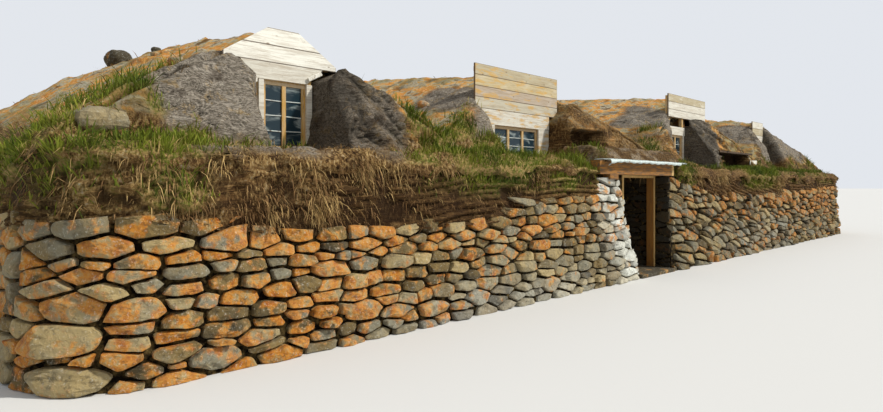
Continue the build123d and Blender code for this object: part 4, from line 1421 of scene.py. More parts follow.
def sink_face(points, cheek, turf):
    """Moves the cheek back to upright faces: points of the cheek below a face's head go to its
    depth, less what layers of cut turf stand out, so the rows above them overhang. Gives the
    share of each point that is such a face."""
    bare = np.zeros(points.shape[:2])
    for left, right, head, depth in SUNK_FACES:
        top = np.minimum(head, points[..., 2].max(0, keepdims=True) - 0.12)
        inside = (points[..., 0] > left) & (points[..., 0] < right) & cheek
        sunk = inside & (points[..., 2] < top) & (points[..., 1] < depth + 0.2)
        face = depth - layered(points, turf, 0.0)
        points[..., 1] = np.where(sunk, face, points[..., 1])
        bare = np.maximum(bare, inside & (points[..., 2] < head + 0.02) & (points[..., 1] < depth + 0.35))
    return bare


# Cheeks whose netting hangs in deep folds: left and right ends
FOLDED = ((-6.0, -4.7), (3.8, 5.0))


def folds(points):
    """Depth of the folds from 0 to 1: ridged noise, 1 - |n|, long down the slope and to the
    right and narrow across it; and the bulge of the netting, half a sine wave over its height."""
    x, z = points[..., 0], points[..., 2]
    across, down = x + 0.9 * z, z - 0.9 * x
    ridge = 1 - np.abs(fractal(np.stack([across / 0.2, down / 0.85, 0 * x], -1), 1.0, 2, 47)) * 2.2
    share = sum(patch(x, low, high, 0.15) for low, high in FOLDED)
    return smooth(1 - ridge, 0.1, 1.0) * share, share * np.sin(np.clip((z - 1.85) / 1.2, 0, 1) * math.pi)


def shelf_height(shape, x, y):
    """Height of the shelf, which climbs to the sill inside each embrasure."""
    shelf = SHELF_FOOT + 0.05 * smooth(y, 0.3, 1.2)
    for gable in shape.gables:
        inside = patch(x, *shape.gap_edges(gable, y, shelf), 0.1)
        shelf = shelf + (gable.sill - 0.03 - shelf) * smooth(y, 0.55, 1.2) * inside
    return shelf


def rounded(shape, x, y, high, stand, walls):
    """The cheeks' height, lowered to a quarter circle of radius LIP at the embrasures' edges:
    LIP (1 - sqrt(1 - n^2)) for a nearness n to the edge from 0 to 1."""
    for gable in shape.gables:
        left, right = shape.gap_edges(gable, y, high)
        for away in (left - x, x - right):
            near = np.clip(1 - away / LIP, 0, 1) * (away > -0.002) * ~walls
            high = high - LIP * (1 - np.sqrt(1 - near ** 2)) * stand
    return np.where(walls, high - LIP * stand, high)


def by_windows(shape, x, y):
    """1 beside the windows and their board panels, where the skin is thin, and 0 elsewhere."""
    window = np.zeros_like(x)
    for gable in shape.gables:
        for left, right in ((gable.foot[0], gable.foot[1]), (gable.panel[0], gable.panel[0])):
            window = np.maximum(window, patch(x, left - 0.3, right + 0.1, 0.1) * smooth(y, 0.9, 1.15))
    return window


def build_front(shape, finish, turf):
    """The shelf and the cheeks: a profile that droops over the wall's face, runs in over the
    shelf and climbs the cheeks, carried along the front. Beside each window the profile drops
    through columns that blend from the cheek's height to the shelf's, so that the cheeks have
    rounded lips and steep inner faces, splayed on the window's left."""
    place, share, edge = front_columns(shape, turf.step)
    columns = len(place)
    y, rise, on_edge = front_profile(shape, place)
    cheek_height = np.minimum(rise, shape.mound(place[None] + 0 * y, np.maximum(y, GABLE_PLANE)) - 0.02)
    x = shape.splayed(place[None], y, np.maximum(cheek_height, SHELF_FOOT))
    cheek_height = np.minimum(rise, shape.mound(x, np.maximum(y, GABLE_PLANE)) - 0.02)
    shelf = shelf_height(shape, x, y)
    high = np.maximum(cheek_height, shelf)
    walls = (edge >= 0)[None] & ~on_edge
    stand = np.clip((high - shelf) / (2 * LIP), 0, 1)
    high = rounded(shape, x, y, high, stand, walls)
    z = shelf + (high - shelf) * share
    x = np.where(walls, shape.splayed(place[None], y, z), x)
    foot = np.where(edge % 2 == 0, 1, -1) * 0.12 * (1 - share) ** 3
    x = x + np.where(walls, foot * stand, 0)
    z = np.where(on_edge, rise, z)
    points = np.stack([x, y, z], -1)
    window = by_windows(shape, x, y)
    swell = (lumps(points, turf.lump, 41) + turf.cover) * (1 - 0.75 * window) * np.where(walls, 0.35, 1.0)
    steep = smooth(cheek_height, WALL_TOP + 0.05, WALL_TOP + 0.3) * (y < ROOF_FRONT - 0.1)
    creases = fractal(points * [1.0, 1.0, 0.45], 0.3, 4, 46) * 0.035 * steep * (1 - window)
    points[..., 2] += np.where(on_edge, 0, swell * (1 - 0.6 * steep))
    hollow, bulge = folds(points)
    hollow = hollow * steep * ~walls
    points[..., 1] -= swell * 0.7 * np.maximum(steep, on_edge) + creases
    points[..., 1] += 0.1 * hollow - 0.12 * bulge * steep
    points[..., 0] += np.where(walls, fractal(points, 0.22, 3, 44) * 0.025, 0)
    bare = sink_face(points, (y > CHEEK[0][0] + 0.01) & ~walls, turf)
    values = turf_values(points)
    # Painted shade: the right cheeks' steep inner faces under netting get a dark share, and the netting's
    # fold hollows more of it.
    shade = np.where(walls & (edge % 2 == 1)[None] & (points[..., 2] > WALL_TOP + 0.12), 0.95, 0.0)
    values["dark"] = np.maximum(values["dark"] * (0.3 + 0.9 * hollow), shade * values["net"])
    for key in ("net", "moss", "straw", "green"):
        values[key] = values[key] * (1 - bare)
    # Painted shade on the faces set back under the hatch's plank and beside the second window.
    lift(values, "deep", bare * np.where(x > 0, 1.1, 0.6))
    surfaces = []
    for index, span in enumerate((slice(0, columns // 2 + 1), slice(columns // 2, columns))):
        part = {key: value[:, span] for key, value in values.items()}
        surfaces.append(lay_turf(f"turf_front_{index + 1}", points[:, span], (0, -0.5, 1), part, finish))
        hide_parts(*[f"turf_cheeks_{number}" for number in ((1, 2), (3, 4))[index]])
    return surfaces


# Rows of the roof's drooping edge and of the rest, how far its skirts stand out, and the height
# of their feet
LIP_ROWS = 6
ROOF_ROWS = 104
SKIRT = 0.12
SKIRT_FOOT = WALL_TOP - 0.02


def roof_front(shape, line):
    """Depth of the roof's front edge: at the cheeks' shoulders, and set back behind the boards."""
    front = shape.shoulder(shape.mound(line, 0 * line + GABLE_PLANE))
    front = np.minimum(front + 0.02, ROOF_FRONT - 0.06)
    for gable in shape.gables:
        behind = smooth(line, gable.panel[0] - 0.34, gable.panel[0] - 0.02) \
            * (1 - smooth(line, gable.panel[1] + 0.02, gable.panel[1] + 0.34))
        front = front + (ROOF_FRONT - 0.04 - front) * behind
    return front


def build_roof(shape, finish, turf):
    """The roof skin: the mounds' height over the plan, from a drooping front edge at the
    cheeks' shoulders to the back hip, with skirts down to the wall top at its three other
    sides."""
    left, right = shape.edges[0], shape.edges[-1]
    line = np.linspace(left, right, int((right - left) / 0.07))
    extra = [gable.panel[end] + side for gable in shape.gables for end in (0, 1)
             for side in (-0.03, -0.01, 0.01, 0.03)]
    line = np.sort(np.concatenate([line, extra]))
    line = np.concatenate([[left - SKIRT], line, [right + SKIRT]])
    spread = np.linspace(0, 1, ROOF_ROWS) ** 1.25
    front = roof_front(shape, line)
    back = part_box("roof_turf_1_left")[1].y
    y = front[None] + (back - 0.15 - front[None]) * spread[:, None]
    y = np.concatenate([y, 0 * y[:1] + back - 0.08])
    x = line[None] + 0 * y
    z = shape.mound(x, np.maximum(y, GABLE_PLANE)) + turf.cover
    z[-1] = SKIRT_FOOT
    curl = np.linspace(0, 1, LIP_ROWS, endpoint=False)[:, None]
    ragged = 1 + 0.6 * fractal(np.stack([line, 0 * line, 0 * line], -1), 0.3, 3, 53)[None]
    lip_y = front[None] + 0.1 - 0.15 * np.sin(curl * math.pi / 2)
    lip_z = z[:1] - 0.17 * ragged * (1 - curl) ** 0.7
    x = np.concatenate([line[None] + 0 * lip_y, x])
    y = np.concatenate([lip_y, y])
    z = np.concatenate([lip_z, z])
    z[:, [0, -1]] = SKIRT_FOOT
    points = np.stack([x, y, z], -1)
    panel = np.zeros_like(x)
    for gable in shape.gables:
        panel = np.maximum(panel, patch(x, *gable.panel, 0.1) * (1 - smooth(y, 1.35, 1.8)))
    inner = np.ones_like(x)
    inner[:, [0, -1]] = 0
    inner[-1] = 0
    swell = lumps(points, turf.lump * 1.1, 51) * smooth(4.0 - z, 0.05, 0.4)
    points[..., 2] += (swell * (1 - panel) - turf.cover * panel) * inner
    values = turf_values(points)
    hatch_left, hatch_right, hatch_head, _ = SUNK_FACES[0]
    # Painted shade: the roof's drooping edge over the hatch is made dark and bare of moss.
    lip = (np.arange(len(x)) <= LIP_ROWS + 2)[:, None] & (points[..., 2] < hatch_head + 0.12)
    lip = lip & (x > hatch_left - 0.1) & (x < hatch_right + 0.1)
    lift(values, "deep", 1.1 * lip)
    values["moss"] = values["moss"] * ~lip
    return [lay_turf("roof_skin", points, (0, 0, 1), values, finish)]


HEAP_ROWS, HEAP_COLUMNS = 24, 84


def build_heap(finish, turf):
    """Turf and gravel heaped on the sheet over the door: a rising quarter wave from the
    sheet's front edge to a level crest, sinking to the wall top at both ends."""
    low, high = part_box("canopy_turf")
    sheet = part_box("door_canopy")
    along = np.linspace(sheet[0].x - 0.22, sheet[1].x + 0.16, HEAP_COLUMNS)[None]
    across = np.linspace(0, 1, HEAP_ROWS)[:, None]
    on_sheet = patch(along, sheet[0].x + 0.03, sheet[1].x - 0.03, 0.05)
    front = 0.1 + (low.y - 0.1) * on_sheet
    y = front + (0.72 - front) * across
    base = WALL_TOP + 0.02 + (sheet[1].z - 0.016 - WALL_TOP - 0.02) * on_sheet
    crest = patch(along, sheet[0].x - 0.05, sheet[1].x, 0.14)
    z = base + (high.z + 0.03 - base) * np.sin(np.clip(across * 2.2, 0, 1) * math.pi / 2) ** 0.8 * crest
    points = np.stack([along + 0 * y, y, z + 0 * y], -1)
    points[..., 2] += lumps(points, turf.lump * 0.8, 61) * smooth(across, 0.0, 0.2)
    values = turf_values(points)
    stony = smooth(fractal(points, 0.16, 3, 62), -0.1, 0.35)
    values["straw"] = values["straw"] * (0.25 + 0.6 * stony)
    lift(values, "deep", 0.5 * (1 - stony))
    values["net"] = 0.55 * stony
    values["moss"] = 0.3 * values["moss"]
    heap = lay_turf("canopy_heap", points, (0, 0, 1), values, finish)
    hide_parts("canopy_turf")
    return [heap]


# Loose stones on the roofs, scraps and glazing bars

# Place along the front and in depth, half sizes, turn, whiteness and lichen
ROCKS = (
    (-6.84, 5.27, (0.18, 0.16, 0.15), 0.4, 0.0, 0.0),
    (-6.35, 5.1, (0.07, 0.06, 0.05), 0.1, 0.0, 0.0),
    (-8.2, 0.62, (0.28, 0.17, 0.12), 0.3, 0.04, -0.6),
    (-7.3, 1.6, (0.09, 0.07, 0.05), 0.6, 0.1, 0.6),
    (-7.05, 2.6, (0.12, 0.08, 0.06), 1.0, 0.0, 0.9),
    (-6.9, 3.4, (0.08, 0.07, 0.05), 0.2, 0.0, 0.8),
    (-3.6, 1.9, (0.12, 0.09, 0.06), 0.7, 0.3, 0.7),
    (-3.9, 2.7, (0.1, 0.08, 0.05), 0.2, 0.0, 0.4),
    (-0.3, 1.9, (0.14, 0.09, 0.06), 0.5, 0.1, 0.9),
    (2.2, 2.4, (0.13, 0.1, 0.07), 0.9, 0.1, 0.7),
    (5.6, 2.2, (0.11, 0.09, 0.06), 0.3, 0.0, 0.8),
    (7.4, 6.0, (0.14, 0.12, 0.1), 0.3, 0.0, 0.2),
    (10.9, 3.0, (0.16, 0.12, 0.1), 0.8, 0.0, 0.5),
    (-1.2, 8.2, (0.13, 0.1, 0.08), 0.4, 0.0, 0.3),
)
ROCK_POWER = 2.7
ROCK_ROWS, ROCK_COLUMNS = 15, 24


def build_rocks(shape, rubble, turf):
    """Stones that lie on the roofs to hold the turf: each is a superellipsoid, whose radius along
    a ray d is (sum of |d / half size|^p)^(-1/p), roughened by noise and sunk a third of its
    height into the turf."""
    polar = np.linspace(0, math.pi, ROCK_ROWS)[:, None]
    round_about = np.linspace(0, 2 * math.pi, ROCK_COLUMNS + 1)[None]
    each = polar.size * round_about.size
    ray = np.stack([np.sin(polar) * np.cos(round_about), np.sin(polar) * np.sin(round_about),
                    np.cos(polar) + 0 * round_about], -1)
    points, faces, values = [], [], {"tone": [], "rust": [], "pale": []}
    for number, (x, y, half, turn, pale, rust) in enumerate(ROCKS):
        radius = (np.abs(ray / np.array(half)) ** ROCK_POWER).sum(-1) ** (-1 / ROCK_POWER)
        local = ray * radius[..., None]
        local = local * (1 + 0.2 * fractal(local + number, 0.9 * half[0], 3, 81)[..., None])
        c, s = math.cos(turn), math.sin(turn)
        local = local @ np.array([[c, s, 0], [-s, c, 0], [0, 0, 1]])
        ground = shape.mound(np.array(x), np.array(y)) + turf.cover if y > GABLE_PLANE else WALL_TOP + 0.22
        points.append((local + [x, y, ground + 0.35 * half[2]]).reshape(-1, 3))
        faces.append(grid_faces(ROCK_ROWS, ROCK_COLUMNS + 1, number * each)[:, ::-1])
        for key, value in (("tone", 0.0 if number < 2 else 0.8), ("rust", rust), ("pale", pale)):
            values[key].append(np.full(each, value))
    points, faces = np.concatenate(points), np.concatenate(faces)
    unique, index = np.unique(np.round(points, 5), axis=0, return_inverse=True)
    kept = {key: np.zeros(len(unique)) for key in values}
    for key, value in values.items():
        kept[key][index.ravel()] = np.concatenate(value)
    make_piece("roof_stones", unique, index.ravel()[faces], kept, stone_finish(rubble, "roof_stone", 0.12),
               shade_smooth=False)


def bars(name, starts, ends, wide, deep, finish):
    """Thin bars between pairs of points: a chamfered section of eight corners, set square to
    the bar and upright, carried from start to end and closed there."""
    starts, ends = np.asarray(starts, float), np.asarray(ends, float)
    count = len(starts)
    ahead = ends - starts
    ahead /= np.linalg.norm(ahead, axis=1, keepdims=True)
    outward = np.tile([0.0, -1.0, 0.0], (count, 1))
    outward -= ahead * (outward * ahead).sum(1, keepdims=True)
    outward /= np.linalg.norm(outward, axis=1, keepdims=True)
    up = np.cross(outward, ahead)
    a, b, cut = wide / 2, deep / 2, min(wide, deep) * 0.25
    section = np.array([(a - cut, b), (a, b - cut), (a, cut - b), (a - cut, -b),
                        (cut - a, -b), (-a, cut - b), (-a, b - cut), (cut - a, b)])
    ring = up[:, None] * section[None, :, :1] + outward[:, None] * section[None, :, 1:]
    points = np.concatenate([starts[:, None] + ring, ends[:, None] + ring], 1)
    faces = repeated(tube_faces(2, 8), count, 16)
    place, normal = quad_normals(points, faces)
    middle = np.repeat((starts + ends) / 2, len(faces) // count, 0)
    inward = (normal * (place - middle)).sum(1) < 0
    faces[inward] = faces[inward, ::-1]
    return make_piece(name, points, faces, {}, finish, shade_smooth=False)


# Shares of each gable's panes, from their head down, at which glazing bars lie
BAR_SHARES = {1: (0.25, 0.5, 0.75), 2: (0.22, 0.45, 0.7), 3: (0.33, 0.66), 4: (0.33, 0.66)}


def panes():
    """The window panes as (gable number, left, right, low, high, front), read from the glass."""
    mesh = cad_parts["window_glass"].data
    points = np.zeros(len(mesh.vertices) * 3)
    mesh.vertices.foreach_get("co", points)
    points = points.reshape(-1, 3)
    levels = np.unique(np.round(points[:, 0], 3))
    lefts, rights = levels[0::2], levels[1::2]
    found = []
    for left, right in zip(lefts, rights):
        own = points[(points[:, 0] > left - 0.002) & (points[:, 0] < right + 0.002)]
        number = min(GABLE_GAPS, key=lambda n: abs(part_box(f"window_sash_{n}")[0].x - left))
        found.append((number, left, right, own[:, 2].min(), own[:, 2].max(), own[:, 1].min()))
    return found


def build_bars(timber):
    """Pale glazing bars across each pane."""
    starts, ends = [], []
    for number, left, right, low, high, front in panes():
        for share in BAR_SHARES[number]:
            z = high + (low - high) * share
            starts.append((left, front - 0.005, z))
            ends.append((right, front - 0.005, z + 0.004 * (-1) ** len(starts)))
    finish = beam_finish("glazing_bar", timber.bar, timber.sheet, timber.old, (2.0, 8.0, 8.0))
    bars("glazing_bars", starts, ends, 0.011, 0.008, finish)


# Scraps of board under the gables and by the hatch: start, end, and their width
SCRAPS = (
    ((-6.0, 1.2, 2.70), (-5.83, 1.2, 2.79), 0.045),
    ((-6.92, 1.17, 2.69), (-6.86, 1.15, 2.60), 0.06),
    ((-6.79, 1.2, 2.66), (-6.62, 1.2, 2.62), 0.05),
    ((-3.22, 1.19, 2.66), (-3.12, 1.17, 2.45), 0.06),
    ((-3.12, 1.17, 2.45), (-2.98, 1.16, 2.34), 0.045),
    ((6.2, 0.57, 2.08), (6.75, 0.6, 2.1), 0.1),
)


def build_scraps(timber):
    """Short whitish boards that stick out beside the gables and the hatch."""
    finish = beam_finish("scrap_board", timber.cream, timber.white, timber.knot, (4.0, 4.0, 1.0))
    for number, (start, end, wide) in enumerate(SCRAPS, 1):
        bars(f"scrap_board_{number}", [start], [end], wide, 0.02, finish)


# Growth

# Share of a blade's length at which it bends, its width there as a share of its foot's, and how
# far blades may stand past the low and the high corner of the solids' box
BEND = 0.55
BEND_WIDTH = 0.75
GROWTH_REACH = np.array([0.4, 0.3, 0.0])
GROWTH_ROOM = np.array([0.4, 0.3, 0.1])


def grow(name, roots, leans, lengths, sags, tones, growth, finish, seed):
    """Blades of grass: each is a strip from its root along a parabola, root + (lean s - sag s^2)
    times length, where sag pulls down, and narrows to its tip."""
    random = np.random.default_rng(seed)
    count = len(roots)
    turn = random.uniform(0, 2 * math.pi, count)
    across = np.stack([np.cos(turn), np.sin(turn), 0 * turn], 1) * growth.blade_width / 2
    across = across * random.uniform(0.6, 1.5, (count, 1))
    length = lengths[:, None]
    sag = np.stack([0 * sags, 0 * sags, sags], 1)
    root, middle, tip = (roots + (leans * s - sag * s ** 2) * length for s in (0.0, BEND, 1.0))
    narrow = across * BEND_WIDTH
    points = np.stack([root - across, root + across, middle + narrow, middle - narrow, tip], 1)
    points = np.clip(points, np.array(CAD_BOX[0]) - GROWTH_REACH, np.array(CAD_BOX[1]) + GROWTH_ROOM)
    start = (np.arange(count) * 5)[:, None]
    faces = np.concatenate([start + [0, 1, 2], start + [0, 2, 3], start + [3, 2, 4]])
    tips = np.tile([0.0, 0.0, BEND, BEND, 1.0], (count, 1))
    tone = np.repeat(np.clip(tones + random.uniform(-0.12, 0.12, count), 0, 1)[:, None], 5, 1)
    return make_piece(name, points, faces, {"tone": tone, "tip": tips}, finish)


def cell_normals(points):
    """Normals of the cells of a grid of points, as long as the cells' areas."""
    return np.cross(points[1:, :-1] - points[:-1, :-1], points[:-1, 1:] - points[:-1, :-1])


def cell_areas(points):
    """Area of each cell of a grid of points."""
    return np.linalg.norm(cell_normals(points), axis=-1)


def scatter(surface, weight, count, random):
    """Random places on a grid of points, more of them where the weight and the area are large,
    with the surface's normals there, which point up or outwards."""
    points = surface.points
    area = cell_areas(points)
    normal = cell_normals(points) / np.maximum(area, 1e-9)[..., None]
    outward = (normal * (points[:-1, :-1] - HOUSE_MIDDLE)).sum(-1)
    normal = normal * np.where(outward < 0, -1, 1)[..., None]
    chance = (weight[:-1, :-1] * area).ravel()
    cell = random.choice(len(chance), count, p=chance / chance.sum())
    row, column = np.divmod(cell, points.shape[1] - 1)
    a, b = random.uniform(0, 1, (2, count, 1))
    place = (points[row, column] * (1 - a) + points[row, column + 1] * a) * (1 - b) \
        + (points[row + 1, column] * (1 - a) + points[row + 1, column + 1] * a) * b
    return place, normal[row, column]


# Tufts of straw that hang over the stones: place along the front, height and reach
STRAW_TUFTS = ((-7.83, 1.4, 0.28), (-7.15, 1.28, 0.3), (-6.55, 1.34, 0.24), (-6.1, 1.62, 0.25),
               (-5.0, 1.72, 0.2), (-3.2, 1.7, 0.2), (3.0, 1.6, 0.3), (6.6, 1.6, 0.4))


def straw_weight(surface):
    """Where dead grass hangs: clumps over the steep turf below the wall top, and tufts."""
    points = surface.points
    x, y, z = np.moveaxis(points, -1, 0)
    clump = smooth(fractal(points, 0.26, 2, 95), 0.0, 0.6)
    steep = 1 - smooth(upright(points), 0.5, 0.8)
    low = patch(z, 1.0, WALL_TOP + 0.04, 0.05)
    tufts = np.zeros_like(steep)
    for place, height, reach in STRAW_TUFTS:
        away = np.hypot(x - place, z - height) / reach
        tufts = np.maximum(tufts, (1 - smooth(away, 0.3, 1.0)) * (y < 1.0))
    low = low * (1 - 0.65 * smooth(x, 0.5, 1.5) * (y < 2.0))
    low = low * (1 - 0.85 * surface.values["green"])
    clumps = steep * (0.05 + 0.9 * clump * smooth(z, WALL_TOP - 0.4, WALL_TOP))
    return low * (clumps + 2.0 * tufts)


def dead_weight(surface):
    """Where dead grass stands: on straw that isn't green, and a little everywhere."""
    return surface.values["straw"] * (1 - surface.values["green"]) * 0.9 + 0.03


def root_weight(surface):
    """Where roots hang: in the dark of the bare cut face."""
    bare = (1 - surface.values["moss"]) * (1 - surface.values["net"])
    return surface.values["deep"] * bare * (surface.points[..., 2] < WALL_TOP + 0.05)


def build_growth(surfaces, growth):
    """Green tufts, dead grass on the turf, dead grass and roots that hang over the cut face."""
    finish = blade_finish(growth)
    random = np.random.default_rng(90)
    kinds = (
        # name, blades, weight from the values, length range, outward, sideways, sag, tone
        ("green_grass", 50000, lambda s: s.values["green"] ** 1.3, (0.06, 0.2), 0.0, 0.45, 0.35, 0.82),
        ("dead_grass", 28000, dead_weight, (0.03, 0.1), 0.1, 1.2, 0.6, 0.26),
        ("hanging_straw", 10000, straw_weight, (0.04, 0.17), 0.5, 0.35, 0.9, 0.27),
        ("hanging_roots", 10000, root_weight, (0.04, 0.16), 0.3, 0.4, 0.7, 0.08),
    )
    for name, total, weigh, (short, long), outward, spread, sag, tone in kinds:
        weights = [weigh(surface) for surface in surfaces]
        sums = np.array([(w[:-1, :-1] * cell_areas(s.points)).sum() for w, s in zip(weights, surfaces)])
        shares = sums / sums.sum()
        found = [scatter(surface, weight, int(total * share * growth.density), random)
                 for surface, weight, share in zip(surfaces, weights, shares) if total * share > 1]
        roots, normals = (np.concatenate([pair[side] for pair in found]) for side in (0, 1))
        count = len(roots)
        clump = fractal(roots, 0.25, 2, 91)
        lengths = np.maximum(random.uniform(short, long, count) * (1 + 0.5 * clump), 0.02)
        turn = random.uniform(0, 2 * math.pi, count)
        tilt = np.abs(random.normal(0, spread, count))
        up = 0.25 if outward > 0.2 else 1.0
        leans = np.stack([np.cos(turn) * tilt, np.sin(turn) * tilt, up + 0 * tilt], 1) + normals * outward
        tones = tone + 0.2 * fractal(roots, 0.3, 3, 92)
        sags = sag * random.uniform(0.7, 1.3, count)
        grow(name, roots - normals * 0.01, leans, lengths, sags, tones, growth, finish, 93)


# Stage

# Half the floor's side, the camera's sensor width in millimetres and its far limit, the even
# light's colour, and the sun's direction, colour and angle in degrees
FLOOR_HALF = 400.0
SENSOR_WIDTH = 36.0
FAR_LIMIT = 1000.0
EVEN_LIGHT = (0.93, 0.96, 1.0, 1)
SUN_FROM = (0.52, -0.62, 0.72)
SUN_COLOUR = (1.0, 0.965, 0.9)
SUN_ANGLE = 4


def build_stage(stage):
    """The floor, the light, the backdrop and the camera."""
    centre = (CAD_BOX[0] + CAD_BOX[1]) / 2
    corners = [(a * FLOOR_HALF, b * FLOOR_HALF) for a, b in ((-1, -1), (1, -1), (1, 1), (-1, 1))]
    mesh = bpy.data.meshes.new("floor")
    mesh.from_pydata([(centre.x + a, centre.y + b, 0.0) for a, b in corners], [], [(0, 1, 2, 3)])
    floor = add_object("floor", mesh)
    mesh.materials.append(Finish("pale_floor", 0.95, specular=0.1).done(tuple(stage.floor)))

    world = bpy.data.worlds.new("soft_studio")
    bpy.context.scene.world = world
    world.use_nodes = True
    air = Nodes(world.node_tree)
    even = air.tree.nodes["Background"]
    even.inputs["Color"].default_value = EVEN_LIGHT
    even.inputs["Strength"].default_value = stage.sky
    shown = air.add("Background", 0, {"Color": stage.backdrop, "Strength": 1.0})
    path = air.add("LightPath", 0, {}).node.outputs
    seen = path["Is Camera Ray"]
    for ray in ("Is Glossy Ray", "Is Transmission Ray"):
        seen = air.math("MAXIMUM", seen, path[ray])
    light = air.add("MixShader", 0, {"Fac": seen, 1: even.outputs[0], 2: shown})
    air.put(air.tree.nodes["World Output"].inputs["Surface"], light)

    sun = bpy.data.lights.new("key", "SUN")
    sun.energy = stage.sun
    sun.angle = math.radians(SUN_ANGLE)
    sun.color = SUN_COLOUR
    key = add_object("key", sun)
    key.rotation_mode = "QUATERNION"
    key.rotation_quaternion = Vector(SUN_FROM).to_track_quat("Z", "Y")

    camera = bpy.data.cameras.new("photo_view")
    camera.lens = stage.lens
    camera.sensor_width = SENSOR_WIDTH
    camera.shift_y = stage.horizon_shift
    camera.clip_end = FAR_LIMIT
    view = add_object("photo_view", camera)
    view.location = stage.camera_place
    view.rotation_euler = (math.pi / 2, 0.0, -stage.heading)
    bpy.context.scene.camera = view
    bpy.context.scene.view_settings.view_transform = "Standard"


# Joinery

def dress_boards(timber):
    """The board panels and casings of the four gables."""
    cream, white, tan = timber.cream, timber.white, timber.tan
    panels = (
        # gable, colours of its boards from the lowest up, and how stained they are
        (1, (cream, cream), 0.0),
        (2, (timber.grey, timber.pink, timber.sand, tan), 1.0),
        (3, (white, white, tan), 0.3),
        (4, (white, tan, white), 0.3),
    )
    for number, colours, stain in panels:
        low, box = GABLE_GAPS[number][0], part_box(f"gable_boards_{number}")
        finish = board_finish(f"boards_{number}", timber, low, box[1].z, colours, stain, box)
        dress([f"gable_boards_{number}"], finish)
    build_scraps(timber)


def dress_windows(timber):
    """The casements, the framing behind the boards, the glass and its bars."""
    pale = tuple(np.minimum(np.array(timber.window) * 1.25, 1))
    for number in GABLE_GAPS:
        light = timber.window_tan if number == 1 else timber.window
        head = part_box(f"window_sash_{number}")[1].z - 0.04
        finish = beam_finish(f"window_timber_{number}", light, timber.ochre, timber.knot,
                             (6.0, 6.0, 0.8), ("Z", head, pale))
        dress([f"window_sash_{number}"], finish)
    framing = beam_finish("gable_framing", timber.window, timber.ochre, timber.knot, (6.0, 6.0, 0.8))
    dress([f"gable_frame_{number}" for number in GABLE_GAPS], framing)
    dress(["window_glass"], glass_finish(timber))
    build_bars(timber)


def dress_doorway(timber):
    """The lintel, the door frame and the corrugated sheet."""
    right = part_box("door_lintel")[1].x
    lintel = beam_finish("lintel_timber", timber.door, timber.old, timber.old, (0.6, 5.0, 6.0),
                         ("X", right - 0.08, timber.door_edge))
    dress(["door_lintel"], lintel)
    dress(["door_frame"], door_frame_finish(timber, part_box("door_frame")[0].y))
    sheet = sheet_finish(timber)
    dress(["door_canopy"], sheet)
    build_sheet_edge(sheet)


def dress_roof_timber(timber):
    """The timber under the turf and the plank over the hatch."""
    old = beam_finish("roof_timber", timber.old, timber.door, timber.old, (2.0, 0.8, 4.0))
    dress(["rafters", "ridge_beams", "valley_beams", "valley_posts", "passage_roof"], old)
    dark = tuple(value / 3 for value in timber.old)
    plank = beam_finish("plank_timber", timber.old, dark, dark, (0.8, 4.0, 6.0))
    dress(["hatch_plank"], plank)


# Rings of points along the sheet's rolled edge, points round each of its two arcs, and the
# distance between the arcs
EDGE_COLUMNS = 90
EDGE_STEPS = 14
EDGE_THICKNESS = 0.005


def build_sheet_edge(finish):
    """The rolled front edge of the sheet: an arc from the top of the sheet round its front and
    under, of radius 24 mm, wider by up to 26 mm at its left end and wavy by 3 mm, with an inner
    arc under it; its ends are closed by strips between the two arcs."""
    low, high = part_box("door_canopy")
    x = np.linspace(low.x - 0.005, high.x - 0.25, EDGE_COLUMNS)[:, None]
    radius = 0.024 + 0.026 * np.exp(-(x - low.x) / 0.1) + 0.003 * np.sin(x * 31)
    turn = np.linspace(math.radians(100), math.radians(-95), EDGE_STEPS)[None]
    arcs = []
    for inset in (0.0, EDGE_THICKNESS):
        size = radius - inset
        arcs.append(np.stack([x + 0 * turn, low.y + 0.012 - size * np.cos(turn) + 0 * x,
                              high.z - 0.02 - radius + 0.016 + size * np.sin(turn)], -1))
    ring = np.concatenate([arcs[0], arcs[1][:, ::-1]], 1)
    ring[..., 2] += 0.004 * np.sin(x * 9.0)
    faces = tube_faces(EDGE_COLUMNS, 2 * EDGE_STEPS)
    points = ring.reshape(-1, 3)
    corners = points[faces]
    volume = (corners[:, 0] * np.cross(corners[:, 1], corners[:, 2])
              + corners[:, 0] * np.cross(corners[:, 2], corners[:, 3])).sum()
    faces = faces if volume > 0 else faces[:, ::-1]
    make_piece("sheet_edge", points, faces, {}, finish)


# The add-on

# Grids of the turf that is laid, for the grass to stand on
SURFACES = []


def turf_parts(context):
    """The turf settings, the shape that they give and the finish."""
    turf = context.scene.turf_house.turf
    return TurfShape(turf), shared_finish("turf_skin", lambda: turf_finish(turf)), turf


def shared_finish(name, make):
    """A finish that several pieces share, made by the first that needs it."""
    return bpy.data.materials.get(name) or make()


class TURFHOUSE_OT_stones(bpy.types.Operator):
    """Lay the rubble stones of every wall"""
    bl_idname = "turfhouse.stones"
    bl_label = "Stones"

    def execute(self, context):
        build_stones(context.scene.turf_house.rubble)
        return {"FINISHED"}


class TURFHOUSE_OT_band(bpy.types.Operator):
    """Lay the cut turf over the stones"""
    bl_idname = "turfhouse.band"
    bl_label = "Cut turf"

    def execute(self, context):
        _, finish, turf = turf_parts(context)
        SURFACES.extend(build_band(finish, turf))
        solid = [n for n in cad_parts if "turf_wall" in n or n.startswith("roof_turf")]
        dress(solid, core_finish(context.scene.turf_house.rubble))
        return {"FINISHED"}


class TURFHOUSE_OT_cheeks(bpy.types.Operator):
    """Lay the shelf and the cheeks round the windows"""
    bl_idname = "turfhouse.cheeks"
    bl_label = "Shelf and cheeks"

    def execute(self, context):
        SURFACES.extend(build_front(*turf_parts(context)))
        return {"FINISHED"}


